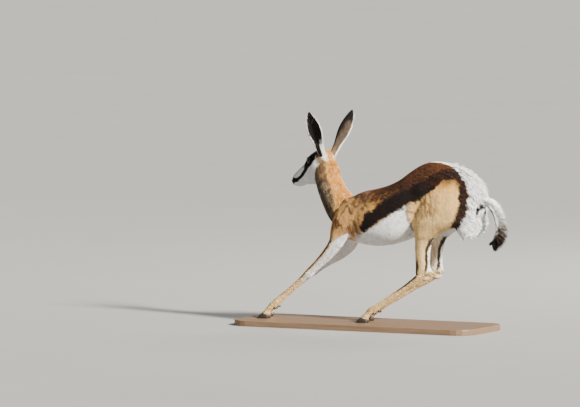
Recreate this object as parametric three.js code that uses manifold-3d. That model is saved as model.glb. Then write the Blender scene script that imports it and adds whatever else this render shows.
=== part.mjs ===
import * as THREE from "three";
import { mergeVertices } from "three/addons/utils/BufferGeometryUtils.js";
import Module from "manifold-3d";

// A springbok lamb of about two months, life size, running with all four hooves down on a flat stand.
// Millimetres. The lamb faces -X, its left side is -Y and +Z is up. While the lamb is made, z = 0 is the
// top of the stand, x = 0 is in the loins and y = 0 is the middle plane. The last lines move the group so
// that its origin is at the middle of the whole thing's underside.

const wasm = await Module();
wasm.setup();

// Driving sizes
const GAP = 0.3; // left between any two nodes
const STAND_TOP = -18; // under z = 0, which is level with the coronets of the hooves
const STAND_THICK = 18;
const STAND_CORNER = 60;
const STAND_FRONT = -530;
const STAND_BACK = 300;
const STAND_HALF_WIDTH = 140;
const EYE_RADIUS = 12.5;
const EYE_THICK = 15; // the eyeball is cut flat behind
const EAR_LENGTH = 163;
const EAR_THICK = 2.6;

const LEFT = -1;
const RIGHT = 1;

// Trunk, front to back: x, height of the back, height of the belly, half width, share of the depth at
// which it is widest, fullness of the section (2 is an ellipse)
const TRUNK = [
  [-222, 322, 270, 26, 0.5, 2.1],
  [-212, 336, 257, 38, 0.5, 2.1],
  [-192, 356, 243, 47, 0.48, 2.1],
  [-160, 374, 232, 53, 0.46, 2.1],
  [-121, 390, 222, 59, 0.46, 2.1],
  [-80, 399, 218, 65, 0.45, 2.1],
  [-35, 412, 222, 69, 0.45, 2.15],
  [5, 431, 232, 70, 0.45, 2.15],
  [40, 456, 245, 67, 0.46, 2.15],
  [75, 477, 262, 61, 0.5, 2.1],
  [110, 488, 283, 58, 0.55, 2.1],
  [145, 488, 300, 58, 0.6, 2.1],
  [180, 482, 308, 58, 0.6, 2.1],
  [215, 467, 314, 53, 0.6, 2.1],
  [244, 448, 316, 46, 0.6, 2.1],
  [264, 428, 320, 39, 0.55, 2.1],
  [277, 406, 328, 30, 0.5, 2.1],
];
const TRUNK_DOME = 11; // how far its first and last sections are domed

// Neck, base to head: x, y, z, reach to the nape, reach to the throat, half width
const NECK = [
  [-176, 0, 300, 66, 50, 40],
  [-205, 0, 334, 58, 50, 41],
  [-232, 2, 376, 49, 45, 37],
  [-248, 6, 414, 44, 45, 34.5],
  [-256, 10, 450, 39, 46, 32],
  [-261, 13, 476, 29, 40, 27],
];
const NECK_DOME = 8;

// Head, in its own frame: forward from the back of the skull, top, underside, half width, fullness
const HEAD_AT = [-250, 12, 482];
const HEAD_YAW = 19; // degrees to the lamb's right
const HEAD_PITCH = 21; // degrees nose down
const HEAD = [
  [0, 32, -32, 26, 2.3],
  [16, 40, -52, 32, 2.35],
  [36, 44, -63, 34, 2.2],
  [58, 42, -62, 33, 2.1],
  [80, 35, -55, 28, 2.1],
  [103, 26, -47, 22.5, 2.1],
  [126, 17.5, -40, 19.2, 2.2],
  [145, 11, -38.5, 17.4, 2.3],
  [160, 5.5, -35, 16.6, 2.35],
  [171, -1, -28.5, 14, 2.3],
];
const HEAD_DOME = 7;
const EYE_AT = [60, 19.8, 18]; // forward, out, up in the head's frame
const EYE_WAY = [0.34, 0.92, 0.14];
const LID = 1.6; // how far the lids stand over the eyeball
const EYE_SLIT = [10.8, 7.6]; // half length and half height of the opening between the lids
const BROW = [21, 13, 17]; // reaches of the bony rim round the eye, forward, out and up
const THIGH_INSIDE = 14; // how far out from the middle plane the thighs' nodes start
const MOUTH = [[118, -27], [134, -24.5], [150, -22], [166, -19], [184, -17]]; // forward, up
const MOUTH_DEEP = 2.2;
const MOUTH_WIDE = 1.3;
const NOSTRIL_AT = [173.5, 7.5, -6];
const NOSTRIL = [5, 3, 2.4];

// Ears: root in the head's frame, the way they point and the way their cups open
const EAR_ROOT = [6, 19.5, 11.5];
const EAR_WAY = [-54, 63, 108];
const EAR_OPEN_LEFT = [-0.5, 0.85, -0.2];
const EAR_OPEN_RIGHT = [0.35, 1, -0.3];
// share of the length, half width, depth of the cup, share of the cup that is filled
const EAR = [
  [0, 10, 11, 1],
  [0.15, 12, 13, 1],
  [0.25, 13.5, 14, 0.8],
  [0.34, 16.8, 14, 0.2],
  [0.44, 20.6, 13, 0],
  [0.55, 23.2, 12, 0],
  [0.66, 23, 10.5, 0],
  [0.77, 19.4, 8.6, 0],
  [0.87, 13.4, 6.4, 0],
  [0.94, 8, 4.6, 0.1],
  [1, 2.2, 2.4, 1],
];
const EAR_CUT = 0.23; // share of the length where the ear is parted from the head

// Legs: x, y out from the middle plane, z, reach forward, reach back, half width
const FORELEG_LEFT = [
  [-150, 25, 352, 32, 34, 18],
  [-171, 36, 308, 39, 40, 23],
  [-188, 42, 264, 33, 36, 24],
  [-203, 43, 228, 23, 27, 20],
  [-230, 42, 194, 18, 21, 16.5],
  [-260, 40, 164, 14.5, 16, 13.5],
  [-283, 38, 143, 13.5, 14, 13],
  [-300, 37, 128, 13, 15, 13],
  [-319, 36, 112, 10, 11, 10.5],
  [-350, 34.5, 87, 8.8, 9.4, 8.8],
  [-390, 33, 55, 8.8, 9.4, 8.8],
  [-412, 32.5, 37, 10, 11.5, 10.5],
  [-426, 32, 25, 10.8, 13, 11.6],
  [-439, 32, 11, 9.6, 11.4, 11],
  [-451, 32, -3, 10.6, 12, 12.4],
  [-458, 32, -11, 11, 12, 12.8],
];
const FORELEG_RIGHT = [
  [-150, 25, 352, 32, 34, 18],
  [-174, 36, 307, 40, 40, 23],
  [-190, 42, 262, 34, 40, 24],
  [-205, 43, 226, 26, 36, 20],
  [-230, 42, 198, 20, 29, 16.5],
  [-264, 40, 171, 16, 20, 13.5],
  [-294, 38, 149, 13.5, 15, 13],
  [-317, 37, 132, 13, 15, 13],
  [-337, 36, 116, 10, 11, 10.5],
  [-369, 34.5, 90, 8.8, 9.4, 8.8],
  [-411, 33, 56, 8.8, 9.4, 8.8],
  [-434, 32.5, 37, 10, 11.5, 10.5],
  [-448, 32, 25, 10.8, 13, 11.6],
  [-461, 32, 11, 9.6, 11.4, 11],
  [-473, 32, -3, 10.6, 12, 12.4],
  [-480, 32, -11, 11, 12, 12.8],
];
const CANNON_LEFT = [
  [118, 43, 146, 15, 12, 12.5],
  [96, 43, 132, 16.5, 15, 14],
  [70, 42.5, 115, 13.5, 14, 12.5],
  [38, 41.5, 95, 10, 11, 10],
  [0, 40, 71, 9.2, 10, 9.2],
  [-40, 38, 46, 9.2, 10, 9.2],
  [-64, 36.5, 31, 10.4, 12, 10.8],
  [-80, 35.5, 21.5, 11.2, 13.4, 11.8],
  [-94, 35, 9, 9.8, 11.6, 11.2],
  [-106, 35, -4, 10.8, 12, 12.4],
  [-112, 35, -12, 11.2, 12, 12.8],
];
const CANNON_RIGHT = [
  [115, 43, 146, 15, 12, 12.5],
  [92, 43, 132, 16.5, 15, 14],
  [65, 42.5, 115, 13.5, 14, 12.5],
  [31, 41.5, 95, 10, 11, 10],
  [-10, 40, 70, 9.2, 10, 9.2],
  [-54, 38, 45, 9.2, 10, 9.2],
  [-80, 36.5, 31, 10.4, 12, 10.8],
  [-97, 35.5, 21.5, 11.2, 13.4, 11.8],
  [-111, 35, 9, 9.8, 11.6, 11.2],
  [-123, 35, -4, 10.8, 12, 12.4],
  [-129, 35, -12, 11.2, 12, 12.8],
];

// Level sections, top to bottom: z, front, back, y out from the middle plane, half width
const HAUNCH = [
  [440, 130, 243, 29, 18],
  [415, 105, 267, 35, 25],
  [380, 86, 275, 39, 29],
  [350, 74, 274, 41, 31],
  [322, 69, 262, 43, 30],
  [302, 68, 234, 45, 29],
  [284, 69, 192, 46, 26],
  [264, 71, 155, 47, 22.5],
  [244, 73, 136, 47, 19],
  [220, 74, 127, 46, 15.8],
  [190, 75, 124, 45, 13.4],
  [166, 76, 124, 44, 12.6],
  [146, 77, 127, 43.5, 13.4],
  [130, 80, 120, 43, 12],
];
const HAM = [
  [394, 205, 268, 22, 20],
  [362, 201, 278, 27, 24],
  [332, 198, 280, 29, 26],
  [306, 197, 274, 31, 26],
  [290, 200, 268, 31, 25],
  [277, 210, 261, 30, 22],
  [270, 220, 254, 29, 17],
];

// Tail, root to tip: x, y, z, reach of the inner side, reach of the fringe, half width
const TAIL = [
  [246, 0, 368, 11, 11, 12],
  [262, 0, 370, 10, 9, 10],
  [278, 0, 367, 8, 7.5, 8],
  [292, 1, 361, 6.5, 7, 6.8],
  [308, 3, 350, 6, 8, 6.2],
  [321, 5, 329, 5.5, 9, 5.8],
  [328, 7, 303, 5, 10, 5.4],
  [327, 8, 277, 5, 10, 5.2],
  [319, 9, 255, 4.8, 9, 5],
  [309, 10, 243, 4.2, 6, 4.4],
];
const TAIL_DOME = 5;

// Locks on the tail, and down it: share of its length, length of the locks, lean towards its tip
const FRINGE = { count: 20, width: 18, thick: 7, sideways: 0.17 };
const FRINGE_ROWS = [
  [0.33, 25, 0.6],
  [0.5, 33, 0.45],
  [0.67, 41, 0.8],
  [0.78, 44, 0.95],
  [0.89, 30, 1.1],
  [1, 17, 1.5],
];

// Rows of locks on the rump: height of the row's middle, degrees it looks up, how many, their length
const RUMP_ROWS = [
  [430, 52, 4, 46],
  [414, 26, 5, 48],
  [388, 12, 6, 48],
  [361, 5, 6, 46],
  [334, 0, 6, 42],
  [308, -6, 6, 36],
  [292, -24, 4, 26],
];
const RUMP_X = 212; // where the middles of the rows are
const RUMP_TURN = 78; // how far round to each side the rows reach
const RUMP_LOCK = { width: 30, thick: 10, rise: 22, sunk: 7, round: 88 };
const RUMP_FRONT = 214; // no lock's root is ahead of this
const LOCK_SHAPE = [[0, 0.8], [0.42, 1], [0.78, 0.6], [1, 0.12]]; // share of the length, of the width

// Planes that part the flesh into nodes: a point and the way to the side that is taken
const PLANES = {
  head: [[-257, 12, 458], [-0.66, 0.23, 0.72]],
  neck: [[-206, 0, 355], [-0.736, 0, 0.677]],
  forearm: [[-222, 0, 203], [-0.62, 0, -0.78]],
  foreBack: [[-150, 0, 0], [-1, 0, 0]],
  foreCannonLeft: [[-308, 0, 121], [-0.76, 0, -0.65]],
  foreCannonRight: [[-326, 0, 125], [-0.76, 0, -0.65]],
  shankTop: [[0, 0, 246], [0, 0, -1]],
  shankFront: [[40, 0, 246], [0.78, 0, -0.62]],
  thighTop: [[136, 0, 392], [0.3, 0, -1]],
  thighFront: [[56, 0, 300], [1, 0, 0]],
  hindCannonLeft: [[80, 0, 121], [-0.84, 0, -0.55]],
  hindCannonRight: [[76, 0, 119], [-0.84, 0, -0.55]],
  rump: [[205, 0, 380], [1, 0, -0.1]],
  tail: [[296, 0, 360], [1, 0, -0.25]],
};

// Hooves: the sole's toe and heel, the coronet's front and back, all forward of the coronet's middle
const HOOF = { toe: 29, heel: -11, coronetFront: 9, coronetBack: -13, half: 6.9, apart: 7.5 };
const CORONET_TILT = 0.35; // how far the coronet's plane leans back
const LIMB_AROUND = 11; // corners round a lower leg
const DEWCLAW = [3.4, 3, 4.6];

const COAT = {
  tan: [0.76, 0.53, 0.31],
  brown: [0.4, 0.19, 0.09],
  white: [0.93, 0.92, 0.88],
  ear: [0.5, 0.42, 0.34],
  leg: [0.8, 0.64, 0.44],
  horn: [0.07, 0.06, 0.055],
  eye: [0.02, 0.015, 0.012],
  stand: [0.32, 0.3, 0.28],
};
const material = (color, roughness = 0.85) =>
  new THREE.MeshStandardMaterial({ color: new THREE.Color(...color), roughness, metalness: 0 });
const tanCoat = material(COAT.tan);
const whiteCoat = material(COAT.white);
const earCoat = material(COAT.ear);
const legCoat = material(COAT.leg);
const horn = material(COAT.horn, 0.4);
const wetEye = material(COAT.eye, 0.08);
const standPaint = material(COAT.stand, 0.6);

// Rows of a table at count even places, each column on one smooth curve through the rows.
function smooth(rows, count) {
  const made = [];
  for (let i = 0; i < count; i++) {
    const place = (i / (count - 1)) * (rows.length - 1);
    const at = Math.min(Math.floor(place), rows.length - 2);
    const t = place - at;
    const [a, b, c, d] = [at - 1, at, at + 1, at + 2].map(
      (k) => rows[Math.min(Math.max(k, 0), rows.length - 1)],
    );
    made.push(
      b.map((_, j) => {
        const [p, q] = [(c[j] - a[j]) / 2, (d[j] - b[j]) / 2];
        const run = 3 * (c[j] - b[j]) - 2 * p - q;
        const end = 2 * (b[j] - c[j]) + p + q;
        return b[j] + t * (p + t * (run + t * end));
      }),
    );
  }
  return made;
}

// A point on an oval section: up and side are its axes, and top, bottom, left and right its reaches.
function ovalPoint(s, turn) {
  const bend = (v) => Math.sign(v) * Math.abs(v) ** (2 / (s.power ?? 2));
  const across = bend(Math.cos(turn));
  const rise = bend(Math.sin(turn));
  return s.centre
    .clone()
    .addScaledVector(s.side, across * (across > 0 ? s.right : s.left))
    .addScaledVector(s.up, rise * (rise > 0 ? s.top : s.bottom));
}

// Extra sections that close an end in a dome of the given length.
function dome(s, outward, length, rings = 2) {
  const made = [];
  for (let k = 1; k <= rings; k++) {
    const turn = (Math.PI / 2) * (k / (rings + 0.6));
    const share = Math.cos(turn);
    made.push({
      ...s,
      centre: s.centre.clone().addScaledVector(outward, length * Math.sin(turn)),
      top: s.top * share,
      bottom: s.bottom * share,
      left: s.left * share,
      right: s.right * share,
    });
  }
  return made;
}

// A closed surface from rings of points, with a fan at each end.
function skinned(rings) {
  const around = rings[0].length;
  const points = rings.flat();
  const faces = [];
  for (let i = 0; i + 1 < rings.length; i++)
    for (let k = 0; k < around; k++) {
      const [a, b] = [i * around + k, i * around + ((k + 1) % around)];
      faces.push(a, b, b + around, a, b + around, a + around);
    }
  for (const [i, order] of [
    [0, [1, 0]],
    [rings.length - 1, [0, 1]],
  ]) {
    const middle = new THREE.Vector3();
    rings[i].forEach((p) => middle.add(p));
    points.push(middle.divideScalar(around));
    for (let k = 0; k < around; k++) {
      const pair = [i * around + k, i * around + ((k + 1) % around)];
      faces.push(points.length - 1, pair[order[0]], pair[order[1]]);
    }
  }
  const geometry = new THREE.BufferGeometry();
  const places = points.flatMap((p) => p.toArray());
  geometry.setAttribute("position", new THREE.Float32BufferAttribute(places, 3));
  geometry.setIndex(faces);
  return geometry;
}

const loft = (sections, around) =>
  skinned(
    sections.map((s) =>
      Array.from({ length: around }, (_, k) => ovalPoint(s, (2 * Math.PI * (k + 0.5)) / around)),
    ),
  );

// A three.js geometry as a solid, turned inside out if its faces point in.
function solid(geometry) {
  const bare = geometry.clone();
  bare.deleteAttribute("normal");
  bare.deleteAttribute("uv");
  const merged = mergeVertices(bare, 1e-4);
  const triVerts = new Uint32Array(merged.index.array);
  const vertProperties = merged.attributes.position.array;
  const make = () => new wasm.Manifold(new wasm.Mesh({ numProp: 3, vertProperties, triVerts }));
  const made = make();
  if (made.volume() > 0) return made;
  for (let i = 0; i < triVerts.length; i += 3)
    [triVerts[i + 1], triVerts[i + 2]] = [triVerts[i + 2], triVerts[i + 1]];
  return make();
}

const join = (...solids) => solids.reduce((all, s) => all.add(s));

// The part of a solid beyond a plane, on the side that way points to, set back from it by clear.
function beyond(s, [at, way], clear = 0) {
  const normal = new THREE.Vector3(...way).normalize();
  return s.trimByPlane(normal.toArray(), normal.dot(new THREE.Vector3(...at)) + clear);
}

// Parts a solid by a region that planes bound: what is inside it and the rest, a gap apart.
function parted(s, planes) {
  const inside = planes.reduce((piece, plane) => beyond(piece, plane, GAP / 2), s);
  const block = solid(new THREE.BoxGeometry(4000, 4000, 4000));
  const region = planes.reduce((piece, plane) => beyond(piece, plane, -GAP / 2), block);
  return [largest(inside), largest(s.subtract(region))];
}

// The largest closed body of a solid.
const largest = (s) => s.decompose().reduce((a, b) => (b.volume() > a.volume() ? b : a));

const middlePlane = (hand, out = 0) => [[0, hand * out, 0], [0, hand, 0]];

// Sections square to a path whose rows hold x, y, z, front reach, back reach and half width.
function sectionsAlong(rows, across = [0, 1, 0]) {
  const path = rows.map((r) => new THREE.Vector3(r[0], r[1], r[2]));
  return rows.map((r, i) => {
    const ahead = path[Math.min(i + 1, path.length - 1)].clone();
    const way = ahead.sub(path[Math.max(i - 1, 0)]).normalize();
    const side = new THREE.Vector3(...across).projectOnPlane(way).normalize();
    const up = side.clone().cross(way);
    const [top, bottom, half, power] = r.slice(3);
    return { centre: path[i], up, side, way, top, bottom, left: half, right: half, power };
  });
}

// Level sections whose rows hold z, front x, back x, y out from the middle plane and half width.
const levelSections = (rows, hand) =>
  rows.map(([z, front, back, out, half]) => ({
    centre: new THREE.Vector3((front + back) / 2, hand * out, z),
    up: new THREE.Vector3(1, 0, 0),
    side: new THREE.Vector3(0, 1, 0),
    top: (back - front) / 2,
    bottom: (back - front) / 2,
    left: half,
    right: half,
    power: 2.2,
  }));

const handed = (rows, hand) => rows.map((r) => [r[0], hand * r[1], ...r.slice(2)]);
const domed = (sections, length) => [
  ...dome(sections[0], new THREE.Vector3(0, 0, 1), length).reverse(),
  ...sections,
  ...dome(sections.at(-1), new THREE.Vector3(0, 0, -1), length),
];

function trunk() {
  const sections = smooth(TRUNK, 23).map(([x, back, belly, half, widest, power]) => {
    const middle = belly + (back - belly) * widest;
    return {
      centre: new THREE.Vector3(x, 0, middle),
      up: new THREE.Vector3(0, 0, 1),
      side: new THREE.Vector3(0, 1, 0),
      top: back - middle,
      bottom: middle - belly,
      left: half,
      right: half,
      power,
    };
  });
  const front = dome(sections[0], new THREE.Vector3(-1, 0, 0), TRUNK_DOME).reverse();
  const rear = dome(sections.at(-1), new THREE.Vector3(1, 0, 0), TRUNK_DOME);
  return solid(loft([...front, ...sections, ...rear], 24));
}

function neck() {
  const sections = sectionsAlong(smooth(NECK, 10));
  return solid(loft([...sections, ...dome(sections.at(-1), sections.at(-1).way, NECK_DOME)], 22));
}

const headFrame = new THREE.Object3D();
headFrame.position.set(...HEAD_AT);
headFrame.rotation.set(0, 0, THREE.MathUtils.degToRad(-HEAD_YAW));
headFrame.rotateY(THREE.MathUtils.degToRad(-HEAD_PITCH));
headFrame.updateMatrixWorld(true);

// A point or a direction of the head's own frame (forward, out to a hand, up) in the lamb's.
const headPoint = (forward, out, up) => headFrame.localToWorld(new THREE.Vector3(-forward, out, up));
const headWay = (forward, out, up) => headPoint(forward, out, up).sub(headPoint(0, 0, 0)).normalize();
const headTurn = new THREE.Matrix4().extractRotation(headFrame.matrixWorld);

// An ellipsoid with its reaches along the head's axes.
function headOval([forward, out, up], [reachForward, reachOut, reachUp], detail = 2) {
  const geometry = new THREE.IcosahedronGeometry(1, detail);
  geometry.scale(reachForward, reachOut, reachUp);
  geometry.applyMatrix4(headTurn);
  geometry.translate(...headPoint(forward, out, up).toArray());
  return solid(geometry);
}

function headSections(spare = 0) {
  return smooth(HEAD, 16).map(([forward, top, under, half, power]) => {
    const middle = (top + under) / 2;
    return {
      centre: headPoint(forward, 0, middle),
      up: headWay(0, 0, 1),
      side: headWay(0, 1, 0),
      top: top - middle - spare,
      bottom: middle - under - spare,
      left: half - spare,
      right: half - spare,
      power,
    };
  });
}

function skull(spare = 0) {
  const sections = headSections(spare);
  const back = dome(sections[0], headWay(-1, 0, 0), 8).reverse();
  const nose = dome(sections.at(-1), headWay(1, 0, 0), HEAD_DOME - spare, 3);
  return solid(loft([...back, ...sections, ...nose], 21));
}

// A bar through the muzzle, as thin as the line of the mouth.
function mouthBar() {
  const sections = smooth(MOUTH, 5).map(([forward, up]) => ({
    centre: headPoint(forward, 0, up),
    up: headWay(0, 0, 1),
    side: headWay(0, 1, 0),
    top: MOUTH_WIDE * 0.7,
    bottom: MOUTH_WIDE * 0.7,
    left: 40,
    right: 40,
  }));
  return solid(loft(sections, 4));
}

const eyeCentre = (hand) => headPoint(EYE_AT[0], hand * EYE_AT[1], EYE_AT[2]);

// A ball on the eye's middle, cut flat behind.
function eyeball(hand, radius) {
  const geometry = new THREE.IcosahedronGeometry(radius, 2);
  geometry.translate(...eyeCentre(hand).toArray());
  const way = headWay(EYE_WAY[0], hand * EYE_WAY[1], EYE_WAY[2]);
  const back = eyeCentre(hand).addScaledVector(way, EYE_RADIUS - EYE_THICK - (radius - EYE_RADIUS));
  return beyond(solid(geometry), [back.toArray(), way.toArray()]);
}

// The opening between the lids, cut outward from the middle of the eyeball.
function eyeSlit(hand) {
  const way = headWay(EYE_WAY[0], hand * EYE_WAY[1], EYE_WAY[2]);
  const side = headWay(1, 0, -0.18).projectOnPlane(way).normalize();
  const up = side.clone().cross(way).normalize();
  const ring = (reach) =>
    Array.from({ length: 20 }, (_, k) => {
      const turn = (2 * Math.PI * k) / 20;
      const narrow = Math.abs(Math.sin(turn)) ** 1.25 * Math.sign(Math.sin(turn));
      return eyeCentre(hand)
        .addScaledVector(way, reach)
        .addScaledVector(side, EYE_SLIT[0] * Math.cos(turn))
        .addScaledVector(up, EYE_SLIT[1] * narrow);
    });
  return solid(skinned([ring(1), ring(30)]));
}

const earAxis = (hand) => headWay(EAR_WAY[0], hand * EAR_WAY[1], EAR_WAY[2]);
const earRoot = (hand) => headPoint(EAR_ROOT[0], hand * EAR_ROOT[1], EAR_ROOT[2]);

// One ear, from a root inside the head: an outer skin and, beside it, the cup's own skin.
function ear(hand) {
  const axis = earAxis(hand);
  const [forward, out, up] = hand === LEFT ? EAR_OPEN_LEFT : EAR_OPEN_RIGHT;
  const open = headWay(forward, hand * out, up).projectOnPlane(axis).normalize();
  const across = open.clone().cross(axis);
  const arc = 8;
  const rings = smooth(EAR, 13).map(([share, half, deep, filled]) => {
    const fill = Math.min(Math.max(filled, 0), 1);
    const centre = earRoot(hand)
      .addScaledVector(axis, share * EAR_LENGTH)
      .addScaledVector(open, 5 * Math.sin(Math.PI * share));
    const at = (side, rise) => centre.clone().addScaledVector(across, side).addScaledVector(open, rise);
    const outer = Array.from({ length: arc }, (_, k) => {
      const t = -1 + (2 * k) / (arc - 1);
      return at(half * Math.sin((t * Math.PI) / 2), -deep * Math.cos((t * Math.PI) / 2) ** 1.1);
    });
    const inner = Array.from({ length: arc - 2 }, (_, k) => {
      const t = 1 - (2 * (k + 1)) / (arc - 1);
      const bow = Math.cos((t * Math.PI) / 2) ** 1.1;
      const cup = -(deep - EAR_THICK) * bow + 0.8;
      const plug = 0.45 * deep * bow + 0.8;
      const width = (half - EAR_THICK * 0.6) * Math.sin((t * Math.PI) / 2);
      return at(width, cup + (plug - cup) * fill);
    });
    return [...outer, ...inner];
  });
  return solid(skinned(rings));
}

// Where a leg's last row ends, at the middle of the coronet.
const coronet = (rows, hand) => new THREE.Vector3(rows.at(-2)[0], hand * rows.at(-2)[1], rows.at(-2)[2]);
const coronetPlane = (rows, hand) => [coronet(rows, hand).toArray(), [-CORONET_TILT, 0, -1]];

// A hoof of two claws, flat below, on the end of a leg whose last rows are its coronet.
function hoof(rows, hand) {
  const at = coronet(rows, hand);
  const high = at.z - STAND_TOP - GAP;
  const claws = [LEFT, RIGHT].map((side) => {
    const sections = [0, 0.14, 0.6, 1.2].map((share) => {
      const front = HOOF.toe + (HOOF.coronetFront - HOOF.toe) * share + (share === 0 ? -1.5 : 0);
      const back = HOOF.heel + (HOOF.coronetBack - HOOF.heel) * share;
      const half = HOOF.half * (1 - 0.12 * share);
      const height = STAND_TOP + GAP + share * high;
      return {
        centre: new THREE.Vector3(at.x - (front + back) / 2, at.y + side * HOOF.apart, height),
        up: new THREE.Vector3(-1, 0, 0),
        side: new THREE.Vector3(0, side, 0),
        top: (front - back) / 2,
        bottom: (front - back) / 2,
        left: half + 0.35,
        right: half,
      };
    });
    const pointed = sections.map((s) =>
      Array.from({ length: 12 }, (_, k) => {
        const turn = (2 * Math.PI * (k + 0.5)) / 12;
        const p = ovalPoint({ ...s, power: 2.3 }, turn);
        const ahead = Math.max(Math.sin(turn), 0) ** 3;
        return p.addScaledVector(s.side, -2.6 * ahead);
      }),
    );
    return solid(skinned(pointed));
  });
  return claws;
}

function dewclaws(rows, hand) {
  const row = rows.at(-4);
  return [LEFT, RIGHT].map((side) => {
    const geometry = new THREE.OctahedronGeometry(1, 1);
    geometry.scale(...DEWCLAW);
    geometry.rotateY(0.5);
    geometry.translate(row[0] + row[4] * 0.75, hand * row[1] + side * 6.2, row[2] - row[4] * 0.72);
    return solid(geometry);
  });
}

// Flesh of one limb below the body, with the bulb that the two claws share.
function limb(rows, hand, stations) {
  const sections = sectionsAlong(smooth(handed(rows, hand), stations));
  const last = sections.at(-1);
  const above = dome(sections[0], sections[0].way.clone().negate(), 14).reverse();
  return solid(loft([...above, ...sections, ...dome(last, last.way, 3, 1)], LIMB_AROUND));
}

function tail(spare = 0) {
  const rows = TAIL.map(([x, y, z, ...reaches]) => [x, y, z, ...reaches.map((r) => r + spare)]);
  const sections = sectionsAlong(smooth(rows, 20));
  const last = sections.at(-1);
  return solid(loft([...sections, ...dome(last, last.way, TAIL_DOME)], 10));
}

// A repeatable row of numbers from 0 to 1.
function numbers(seed) {
  let state = seed;
  return () => {
    state = (state * 1664525 + 1013904223) % 4294967296;
    return state / 4294967296;
  };
}

// A flat, tapered lock: place gives the middle of its section at a share of its length.
function lock(place, face, width, thick) {
  const sections = LOCK_SHAPE.map(([share, breadth]) => {
    const centre = place(share);
    const way = place(share + 0.05).sub(place(share - 0.05)).normalize();
    const up = face.clone().projectOnPlane(way).normalize();
    const side = way.clone().cross(up);
    const [half, deep] = [(width * breadth) / 2, (thick * (0.25 + 0.75 * breadth)) / 2];
    return { centre, up, side, top: deep, bottom: deep, left: half, right: half };
  });
  return solid(loft(sections, 4));
}

// Locks over the rump's core, lying back and down, each found by a ray from the middle of the rump.
function rumpLocks(core) {
  const draw = numbers(11);
  const m = core.getMesh();
  const geometry = new THREE.BufferGeometry();
  geometry.setAttribute("position", new THREE.BufferAttribute(new Float32Array(m.vertProperties), 3));
  geometry.setIndex(new THREE.BufferAttribute(m.triVerts, 1));
  const target = new THREE.Mesh(geometry, new THREE.MeshBasicMaterial({ side: THREE.DoubleSide }));
  const made = [];
  RUMP_ROWS.forEach(([height, rise, count, length], row) => {
    for (let k = 0; k < count; k++) {
      const share = (k + 0.5 + (row % 2 ? 0.22 : -0.22) + 0.2 * (draw() - 0.5)) / count;
      const turn = THREE.MathUtils.degToRad(RUMP_TURN * (2 * share - 1));
      const tilt = THREE.MathUtils.degToRad(rise + 5 * (draw() - 0.5));
      const ray = new THREE.Vector3(Math.cos(turn), Math.sin(turn), Math.tan(tilt)).normalize();
      const eye = new THREE.Raycaster(new THREE.Vector3(RUMP_X, 0, height), ray);
      const hit = eye.intersectObject(target).at(-1);
      const long = length * (0.85 + 0.3 * draw());
      if (!hit || hit.point.x < RUMP_FRONT) continue;
      const normal = hit.face.normal.clone().lerp(ray, 0.7).normalize();
      const lie = new THREE.Vector3(0.55, 0.25 * Math.sign(ray.y) + 0.2 * (draw() - 0.5), -0.8);
      lie.projectOnPlane(normal).normalize();
      const place = (t) =>
        hit.point
          .clone()
          .addScaledVector(lie, long * (t - 0.12))
          .addScaledVector(normal, RUMP_LOCK.rise * Math.max(t, 0) ** 0.7 - RUMP_LOCK.sunk)
          .addScaledVector(normal, -((long * t) ** 2) / (2 * RUMP_LOCK.round));
      made.push(lock(place, normal, RUMP_LOCK.width * (0.85 + 0.3 * draw()), RUMP_LOCK.thick));
    }
  });
  return made;
}

// The values of a table's rows at a place between them, which its first column gives.
function between(rows, place) {
  const at = Math.max(rows.findIndex((row) => row[0] >= place), 1);
  const [before, after] = [rows[at - 1], rows[at]];
  const t = (place - before[0]) / (after[0] - before[0]);
  return before.map((value, k) => value + t * (after[k] - value));
}

// Locks down the outer side of the tail, leaning towards its tip.
function tailLocks() {
  const draw = numbers(5);
  const path = smooth(TAIL, 200).map((row) => new THREE.Vector3(row[0], row[1], row[2]));
  const first = FRINGE_ROWS[0][0];
  return Array.from({ length: FRINGE.count }, (_, k) => {
    const share = first + (1 - first) * (k / (FRINGE.count - 1));
    const [, long, lean] = between(FRINGE_ROWS, share);
    const at = Math.round(share * 198);
    const way = path[at + 1].clone().sub(path[at]).normalize();
    const length = long * (0.92 + 0.14 * draw());
    const lie = way.clone().cross(new THREE.Vector3(0, 1, 0)).addScaledVector(way, lean);
    lie.y += FRINGE.sideways * (k % 2 ? 1 : -1) + 0.1 * (draw() - 0.5);
    lie.normalize();
    const place = (t) =>
      path[at]
        .clone()
        .addScaledVector(lie, length * (t - 0.02))
        .addScaledVector(way, 4 * t * t);
    return lock(place, new THREE.Vector3(0, 1, 0), FRINGE.width, FRINGE.thick);
  });
}

function stand() {
  const outline = (inset) => {
    const half = STAND_HALF_WIDTH - inset;
    const [from, to] = [STAND_FRONT + inset, STAND_BACK - inset];
    const round = STAND_CORNER - inset;
    const points = [];
    for (const [x, y, start] of [
      [to - round, half - round, 0],
      [from + round, half - round, 0.5],
      [from + round, -half + round, 1],
      [to - round, -half + round, 1.5],
    ])
      for (let k = 0; k <= 5; k++) {
        const turn = Math.PI * (start + k / 10);
        points.push(new THREE.Vector2(x + round * Math.cos(turn), y + round * Math.sin(turn)));
      }
    return points;
  };
  const level = (inset, z) => outline(inset).map((p) => new THREE.Vector3(p.x, p.y, z));
  const bottom = STAND_TOP - STAND_THICK;
  return solid(
    skinned([
      level(1, bottom),
      level(0, bottom + 1),
      level(0, STAND_TOP - 2),
      level(0.6, STAND_TOP - 0.6),
      level(2, STAND_TOP),
    ]),
  );
}

const group = new THREE.Group();

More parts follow.
